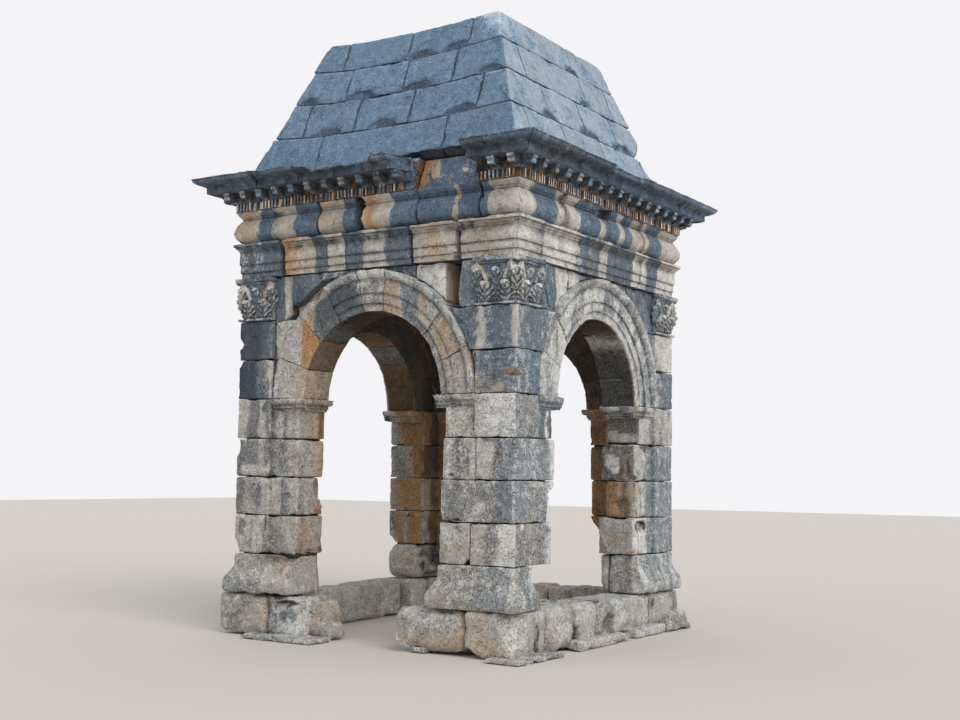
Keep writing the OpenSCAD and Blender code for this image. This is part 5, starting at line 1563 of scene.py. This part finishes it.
def add_backing(work, z):
    """The plain stones that the fallen stretch has laid bare."""
    lean = over(0, by(2, [z, z + 0.4], [0.56, 0.7]), 0.012)
    work.run(
        FRONT, bar((1.5, 1.862), z, z + 0.372), (0.55, GAP[1] - 0.01),
        {0.6: ORANGE, 0.84: ORANGE, 0.88: TAN, 0.98: TAN, 1.02: STEEL, 1.12: STEEL, 1.16: GREY, 1.2: STEEL,
         1.6: STEEL}, soft=0.02, shape=[lean], caps=(3, 2), ledge_shade=False,
        stains=[
            ((0.8, 1.86, z + 0.05), (0.13, 0.05, 0.1), SLATE),
            ((0.74, 1.86, z + 0.18), (0.03, 0.05, 0.09), SLATE),
            ((0.94, 1.86, z + 0.03), (0.07, 0.05, 0.025), TAN),
            ((1.22, 1.86, z + 0.2), (0.03, 0.05, 0.03), WHITE)])
    # A dark brown block behind the laid-bare stones: painted shade
    work.run(FRONT, bar((1.47, 1.62), z, z + 0.36), (0.4, 1.2), SHADED_BROWN, soft=0.02)


def painted_light_by(turn, place):
    """Painted light on the teeth and brackets: how much their lightness is raised to lift the shade under
    the corona, least in the middle of the front.
    """
    return float(np.interp(place, [-1.4, -1.0, 0.6, 1.6], [1.6, 1.0, 1.0, 1.8])) if turn == FRONT else 1.6


def add_dentils(work, turn):
    """Small square teeth, three in five lighter than the rest."""
    for i in range(-39, 40):
        place = i * DENTIL_PITCH
        if missing(turn, place):
            continue
        half = DENTIL_PITCH * 0.31
        seed = int(lattice(np.array([i, turn, 3]), 5) * 6)
        tone = (MAUVE, STEEL, UMBER, GREY, BEIGE, STEEL)[seed]
        # Painted light: the tooth's lightness is raised to lift the shade under the corona
        tone = (*tone[:3], tone[3] * painted_light_by(turn, place))
        short = 0.03 * float(lattice(np.array([i, turn, 4]), 5) > 0.86)
        work.run(
            turn, bar((2.04, DENTIL_FACE - short), CORNICE_Z, CORNICE_Z + 0.092),
            (place - half, place + half), tone, soft=0, steps=0.2, step=0.1, caps=(0, 0), wear=0.6,
            flank=(0.4, 0.7, 0.0, 0.22))


def add_modillions(work, turn):
    """Brackets whose lower side rises outwards in an S, under the flat face."""
    low, high = CORNICE_Z + 0.09, CORNICE_Z + 0.214
    for i in range(17):
        place = -DENTIL_FACE + MODILLION_W / 2 + i * MODILLION_PITCH
        if missing(turn, place):
            continue
        lower = [
            (DENTIL_FACE + 0.137 * t, low + 0.088 * (0.55 * t + 0.12 * math.sin(2 * math.pi * t)))
            for t in np.linspace(0, 1, 7)]
        profile = [(DENTIL_FACE - 0.02, low)] + lower + [
            (2.244, low + 0.088), (MODILLION_FACE, low + 0.088), (MODILLION_FACE, high),
            (DENTIL_FACE - 0.02, high)]
        tone = (BLUE, STEEL, GREY, STEEL, STREAKED)[int(lattice(np.array([i, turn, 8]), 9) * 5)]
        # Painted light: the bracket's lightness is raised, by 1.35 more, to lift the shade under the corona
        tone = (*tone[:3], tone[3] * 1.35 * painted_light_by(turn, place))
        work.run(
            turn, profile, (place - MODILLION_W / 2, place + MODILLION_W / 2), tone, soft=0.005, steps=0.05,
            step=0.05, caps=(1, 1), wear=0.6, under=(0.7, 0.3, 0.0, 0.48), flank=(0.6, 0.4, 0.0, 0.38))


def roof_half(z):
    """Half width of the roof at a height."""
    return ROOF_FOOT - (z - ROOF_Z[0]) * ROOF_SLOPE


def roof_chips(turn, n, joints):
    """Places and half widths of the chips out of a course's lower edge: the
    photographed ones on the front, and one near each joint elsewhere."""
    seen = {
        0: (), 1: ((-0.87, 0.19), (-0.03, 0.2), (1.06, 0.22)),
        2: ((-1.34, 0.12), (-0.52, 0.23), (0.33, 0.21), (1.36, 0.15)), 3: ((0.25, 0.23), (0.78, 0.17))}
    if turn == FRONT:
        return seen[n]
    random = [lattice(np.array([n, turn, k]), 31) for k in range(len(joints))]
    return [(joint + 0.2 * (r - 0.5), 0.09 + 0.12 * r) for joint, r in zip(joints, random)]


def settled(points):
    """The front of the roof has sunk between its hips: a drop by place between
    them, times a weight by height and one that fades towards the back."""
    place = points[..., 0] / roof_half(points[..., 2])
    drop = np.interp(
        place, [-1, -0.75, -0.55, -0.1, 0.35, 0.55, 0.7, 0.85, 1],
        [0, 0.045, 0.07, 0.08, 0.075, 0.06, 0.035, 0.02, 0])
    drop = drop * np.interp(
        points[..., 2], [ROOF_Z[0] + 0.05, ROOF_Z[1], ROOF_Z[3], ROOF_Z[4]], [0, 1, 1, 0.8])
    drop = drop * smooth(-points[..., 1], 0.0, 0.9)
    return points - drop[..., None] * np.array([0, ROOF_SLOPE, 1])


def build_roof():
    """Rings of sloping stones. Every other course has its corner stones on the
    front and back. Lens-shaped chips are broken out of their lower edges."""
    long_joints = ((-0.93, 0.927), (-0.827, 0.059, 0.94), (-0.75, 0.112, 0.813), (0.328,))
    short_joints = ((-0.623, 0.35), (-0.482, 0.33), (0.398,), (0.059,))
    foot = ROOF_Z[0]

    def worn_edge(points):
        """The front's lowest edge is worn away between two places."""
        edge = np.interp(
            points[..., 0], [0.15, 0.35, 0.65, 1.45, 1.6],
            [foot, foot + 0.05, foot + 0.072, foot + 0.072, foot])
        return np.where(points[..., 1] > 1.8, edge, 0)

    for n in range(4):
        work = Masonry(f"roof_course_{n + 1}", settle=settled)
        low, high = ROOF_Z[n], ROOF_Z[n + 1]
        inner = roof_half(low) - ROOF_DEPTH
        west = (0.012, -0.012, 0.0, 0.024)[n]
        for turn in range(4):
            out = west if turn == LEFT else 0.0
            profile = [
                (inner, low), (roof_half(low) + out, low), (roof_half(high) + out, high + 0.002),
                (inner, high + 0.002)]
            left = west if turn == FRONT else 0.0
            right = west if turn == BACK else 0.0
            if turn % 2 == n % 2:
                ends = [lambda u, v: -roof_half(v) - left] + list(long_joints[n]) + [
                    lambda u, v: roof_half(v) + right]
            else:
                ends = [-inner] + list(short_joints[n]) + [inner]
            for i, (start, end) in enumerate(zip(ends, ends[1:])):
                chips, marks = [], []
                for place, half in roof_chips(turn, n, ends[1:-1]):
                    spot = (place, roof_half(low) + 0.035, low - 0.005)
                    radii = (half * 1.2, 0.12, 0.085 + 0.3 * half)
                    chips.append(bite(spot, radii))
                    marks.append((spot, tuple(1.2 * radius for radius in radii), (0.7, 0.22, 0.1, 0.36)))
                # The right side's stones take the lighter roof tone as painted light; the other sides'
                # upper courses are a little lighter
                facade = ROOF_PAINTED_LIGHT if turn == RIGHT else ROOF
                light = facade[3] + 0.05 * (lattice(np.array([n, turn, i]), 67) - 0.5)
                light += -0.03 if turn == RIGHT else 0.03 * min(n, 1)
                # A corner stone's end in the right side's plane takes the same painted light; ends in
                # joints are dark
                lit = callable(end) if turn == FRONT else callable(start) and turn == BACK
                corner = ROOF_PAINTED_LIGHT if lit else ROOF if callable(start) or callable(end) else DARK
                if n == 3 and turn in (FRONT, RIGHT):
                    top = roof_half(high)
                    marks.append(
                        ((top if turn == FRONT else -top, top, high), (0.26, 0.26, 0.44),
                         (0.4, 0.03, 0.6, 0.7)))
                if n == 0 and turn == FRONT:
                    marks.append(((0.85, 1.8, low + 0.02), (0.8, 0.1, 0.07), UMBER))
                    chips.append(over(2, worn_edge, 0.012))
                start = start if callable(start) else start + JOINT
                end = end if callable(end) else end - JOINT
                if (turn, n) in ((RIGHT, 1), (BACK, 0)):
                    chips.append(back_right_break(turn))
                # Faces turned inward are dark brown, part painted shade, and the undersides are painted
                # shade
                work.run(
                    turn, profile, (start, end), (*facade[:3], light), soft=0.03, caps=(4, 4), shape=chips,
                    inner=SHADED_BROWN, steps=[COARSE, 0.026, COARSE, COARSE],
                    step=0.03 if turn in (FRONT, RIGHT) else 0.07, ledge_shade=False, flank=corner,
                    under=(0.6, 0.6, 0.0, 0.16), stains=marks)
        work.piece("roof_stone")
    work = Masonry("roof_cap", settle=settled)
    half = roof_half(ROOF_Z[3]) - ROOF_DEPTH + 0.12
    pitch = 2 * half / 3
    for i in range(3):
        start = -half + i * pitch
        work.run(
            FRONT, bar((-half, half), ROOF_Z[4] - 0.18, ROOF_Z[4]), (start + JOINT, start + pitch - JOINT),
            ROOF, soft=0.015, steps=0.1)
    work.piece("roof_stone")


def back_right_break(turn):
    """The rounded break at the back right corner, over the joint between the
    first two roof courses. The upper stone is pushed in beyond a bent line, the
    lower one back onto a slanting plane."""
    level = ROOF_Z[1]
    if turn == RIGHT:
        heights = [level, level + 0.17, level + 0.36, level + 0.4]
        return under(0, by(2, heights, [FACE - 0.66, FACE - 0.42, FACE - 0.3, 9.0]), 0.03)
    return facet((-1.7, 1.5, level), (-0.3, 0.65, 0.7), 0.02)


def leaf_rows(width, height, base, curl):
    """An acanthus leaf as rings of width across and depth out. Grooves run up and
    outwards along lobes t - 1.25 |across|; the outline is notched where they end.
    Near the tip the path turns over in an arc: out = r (1 - cos), up = r sin.
    Also returns how deep in a groove each point is."""
    lobes, fold = 3.6, 0.74
    t = np.linspace(0, 1, 22)[:, None]
    phi = np.linspace(0, 2 * math.pi, 30, endpoint=False)[None]
    past = (t - fold) / (1 - fold)
    across = np.cos(phi)
    front = np.clip(np.sin(phi) * 2.5, 0, 1)
    body = np.minimum(t / fold, 1)
    turn = np.clip(past, 0, 1) * math.radians(165)
    notch = 0.5 - 0.5 * np.cos(2 * math.pi * (lobes * t - 1.25))
    half = width * (0.55 + 0.45 * np.sin(math.pi * np.minimum(t * 1.2, 1) ** 0.75)) * (1 - 0.3 * notch ** 2)
    half = half * np.where(t > fold, 1 - 0.45 * past, 1)
    side = np.abs(across)
    groove = (0.5 - 0.5 * np.cos(2 * math.pi * (lobes * t - 1.25 * side))) ** 3 * smooth(side, 0.1, 0.35)
    spine = np.exp(-((side - 0.16) / 0.05) ** 2)
    groove = np.maximum(groove, spine) * front * (1 - 0.6 * smooth(t, 0.7, 0.8))
    depth = (0.03 * np.sqrt(1 - 0.8 * across ** 2) - 0.018 * groove) * front
    depth = depth - 0.02 * np.clip(-np.sin(phi), 0, 1)
    out = base + 0.012 * body + curl * (1 - np.cos(turn)) + depth * np.cos(turn * 0.6)
    up = height * 0.86 * body + (curl + 0.6 * depth) * np.sin(turn) + 0.02 * side ** 1.5 * (1 - t)
    return half * across, out, up, groove + 0 * t


def add_leaf(work, side, place, low, width, height, base, curl, tone):
    """Sets a leaf on a face of the capital's bell, with painted shade in its grooves."""
    across, out, up, groove = leaf_rows(width, height, base, curl)
    local = np.stack([place + across, out + 0 * across, low + up + 0 * across], -1)
    worn = 0.005 * rough(to_world(local, side), 0.035, 77)
    local[..., 1] += worn
    local[..., 0] += 0.6 * worn
    # Painted shade in the grooves: their tone goes towards a darkened slate
    tones = np.asarray(tone, float) + groove[..., None] * (
        np.asarray(DARK) * (1, 1, 1, 0.7) - np.asarray(tone))
    tip = smooth(np.linspace(0, 1, len(tones)), 0.45, 0.85)[:, None]
    tones[..., 3] *= 0.8 + 0.35 * tip
    tones[..., 2] += 0.5 * tip
    work.add(to_world(local, side), tones)


def add_tube(work, side, path, radius, tone):
    """A round bar along a path on a face: rings of the path's normal in the face
    and the direction out, each with its own radius."""
    tangent = np.gradient(path, axis=0)
    tangent /= np.maximum(np.linalg.norm(tangent, axis=1), 1e-9)[:, None]
    out = np.array([0.0, 1.0, 0.0])
    normal = np.cross(tangent, out)
    normal /= np.maximum(np.linalg.norm(normal, axis=1), 1e-9)[:, None]
    phi = np.linspace(0, 2 * math.pi, 10, endpoint=False)
    ring = np.cos(phi)[None, :, None] * normal[:, None] + np.sin(phi)[None, :, None] * out[None, None]
    rings = path[:, None] + radius[:, None, None] * ring
    work.add(to_world(rings, side), np.broadcast_to(np.asarray(tone, float), rings.shape[:2] + (4,)).copy())


def add_volute(work, side, place, level, mirror, out, tone, stalk):
    """A stalk that rises to the abacus and winds into a spiral: radius =
    r0 (1 - 0.8 t) over one and a half turns, round a raised eye."""
    t = np.linspace(0, 1, 26)
    angle = math.pi * 0.5 + mirror * 2 * math.pi * 1.5 * t
    radius = 0.054 * (1 - 0.75 * t)
    spiral = np.stack([place + radius * np.cos(angle), out + 0.014 * t, level + radius * np.sin(angle)], -1)
    rise = np.linspace(0, 1, 14)[:-1]
    start = np.array([place - mirror * stalk, out - 0.02, level - 0.155])
    stem = start + (spiral[0] - start) * rise[:, None]
    stem[:, 2] += 0.035 * np.sin(math.pi * rise)
    path = np.concatenate([stem, spiral])
    add_tube(
        work, side, path, np.concatenate([np.linspace(0.026, 0.02, 13), np.linspace(0.019, 0.01, 26)]),
        tone)
    eye = np.linspace(-1, 1, 7)
    rings = np.array([place, out + 0.012, level])[None] + eye[:, None] * np.array([0, 0.02, 0])[None]
    phi = np.linspace(0, 2 * math.pi, 12, endpoint=False)
    disc = 0.02 * np.sqrt(np.maximum(1 - (eye * 0.96) ** 2, 0))
    grid = rings[:, None] + disc[:, None, None] * np.stack([np.cos(phi), 0 * phi, np.sin(phi)], -1)[None]
    work.add(to_world(grid, side), np.broadcast_to(np.asarray(tone, float), grid.shape[:2] + (4,)).copy())


def build_capitals():
    """Leafy capitals: a ring, a bell that spreads in a hollow curve, two rows of
    acanthus leaves, volutes and a thin abacus."""
    for corner, side in CORNERS.items():
        work = Masonry(f"{corner}_capital", fine=0.022, wear=0.7)
        low, top = CAPITAL_Z + 0.002, ARCHITRAVE_Z - JOINT
        bell_low, bell_high = low + 0.03, top - 0.074
        rim, bell = (WALL_IN - 0.014, FACE + 0.022), (WALL_IN + 0.01, FACE - 0.022)
        abacus, under_it = (WALL_IN - 0.02, FACE + 0.058), (WALL_IN - 0.01, FACE + 0.04)
        work.block(side, rim, rim, low, low + 0.028, STREAKED, soft=0.012)

        def spread(points):
            """Bell: both faces lean out by 0.05 t^3, and its sides by 0.06 t^3."""
            t = np.clip((points[..., 2] - bell_low) / (bell_high - bell_low), 0, 1) ** 3
            moved = points.copy()
            for axis in (0, 1):
                part = smooth(points[..., axis], WALL_IN + 0.1, FACE)
                moved[..., axis] += t * (0.045 * part - 0.05 * (1 - part))
            return moved

        work.block(
            side, bell, bell, bell_low - JOINT, bell_high + JOINT, (0.7, 0.08, 0.4, 0.5), shape=[spread],
            soft=0.02, wear=0.5)
        lost = ()
        if corner == "front_right":
            lost = [bite((FACE + 0.09, FACE + 0.09, top - 0.03), (0.1, 0.1, 0.1))]
        work.block(
            side, abacus, abacus, top - 0.05, top, {1.3: SLATE, 1.8: STREAKED, 2.0: PALE, 2.2: SLATE},
            soft=0.01, shape=lost)
        work.block(side, under_it, under_it, top - 0.078, top - 0.046, SLATE, soft=0.01, shape=lost)
        for turn, mirror in legs(side):
            at = {
                part: mirror * (WALL_IN + 0.02 + part * 0.5)
                for part in (-0.02, 0.01, 0.24, 0.5, 0.76, 0.93, 0.98)}
            for part, tone in ((0.01, STREAKED), (0.5, (0.5, 0.1, 0.6, 0.53)), (0.98, ASHEN)):
                add_leaf(work, turn, at[part], bell_low + 0.1, 0.1, 0.265, FACE - 0.022, 0.034, tone)
            for part in (0.24, 0.76):
                add_leaf(work, turn, at[part], bell_low - 0.004, 0.122, 0.205, FACE - 0.006, 0.038, ASHEN)
            stalk = (0.15, 0.45, 0.4, 0.5) if turn == FRONT else (0.6, 0.1, 0.6, 0.54)
            add_volute(work, turn, at[-0.02], bell_high - 0.04, -mirror, FACE + 0.02, stalk, 0.14)
            add_volute(work, turn, at[0.93], bell_high - 0.044, mirror, FACE + 0.016, ASHEN, 0.12)
        work.piece("upper_stone")


def build_stage():
    """Pale floor, soft lamps and a pale background."""
    size = 60.0
    mesh = bpy.data.meshes.new("floor")
    mesh.from_pydata(
        [(-size, -size, 0), (size, -size, 0), (size, size, 0), (-size, size, 0)], [], [(0, 1, 2, 3)])
    floor = added("floor", mesh)
    material = bpy.data.materials.new("pale_floor")
    material.use_nodes = True
    shader = material.node_tree.nodes["Principled BSDF"]
    shader.inputs["Base Color"].default_value = colour("#cfc9bf")
    shader.inputs["Roughness"].default_value = 0.95
    mesh.materials.append(material)

    world = bpy.data.worlds.new("studio")
    bpy.context.scene.world = world
    world.use_nodes = True
    tree = world.node_tree
    tree.nodes.clear()
    n = Nodes(tree)
    rays = n.make("LightPath")
    seen = n.math(
        "MAXIMUM", rays.outputs["Is Camera Ray"],
        n.math("MAXIMUM", rays.outputs["Is Glossy Ray"], rays.outputs["Is Transmission Ray"]))
    lit = n.make("Background", {"Color": (0.94, 0.965, 1.0, 1.0), "Strength": 0.75})
    shown = n.make("Background", {"Color": colour("#f4f3f6"), "Strength": 1.0})
    both = n.make("MixShader", {0: seen, 1: lit.outputs[0], 2: shown.outputs[0]})
    n.make("OutputWorld", {"Surface": both.outputs[0]})

    sun = bpy.data.lights.new("soft_key", "SUN")
    sun.energy = 1.6
    sun.angle = math.radians(40)
    sun.color = (1.0, 0.98, 0.955)
    key = added("soft_key", sun)
    key.rotation_euler = Vector((-0.85, 0.42, -0.75)).to_track_quat("-Z", "Y").to_euler()


def build_camera():
    """Camera from its yaw, pitch and roll: forward from yaw and pitch, right level
    with the ground, and both turned round forward by the roll."""
    yaw, pitch, roll = CAMERA_YAW, CAMERA_PITCH, CAMERA_ROLL
    forward = Vector((-math.sin(yaw) * math.cos(pitch), math.cos(yaw) * math.cos(pitch), math.sin(pitch)))
    level = Vector((math.cos(yaw), math.sin(yaw), 0))
    upright = level.cross(forward)
    right = level * math.cos(roll) + upright * math.sin(roll)
    up = right.cross(forward)
    lens = bpy.data.cameras.new("camera")
    lens.sensor_width = SENSOR
    lens.lens = CAMERA_LENS
    lens.clip_end = 300
    camera = added("camera", lens)
    turn = Matrix((right, up, -forward)).transposed()
    camera.matrix_world = Matrix.Translation(CAMERA_PLACE) @ turn.to_4x4()
    bpy.context.scene.camera = camera


build_camera()
build_stage()
build_footings()
build_sills()
build_bases()
build_piers()
build_shafts()
build_capitals()
build_arches()
build_architraves()
build_friezes()
build_cornices()
build_roof()

bpy.context.scene.view_settings.view_transform = "Standard"
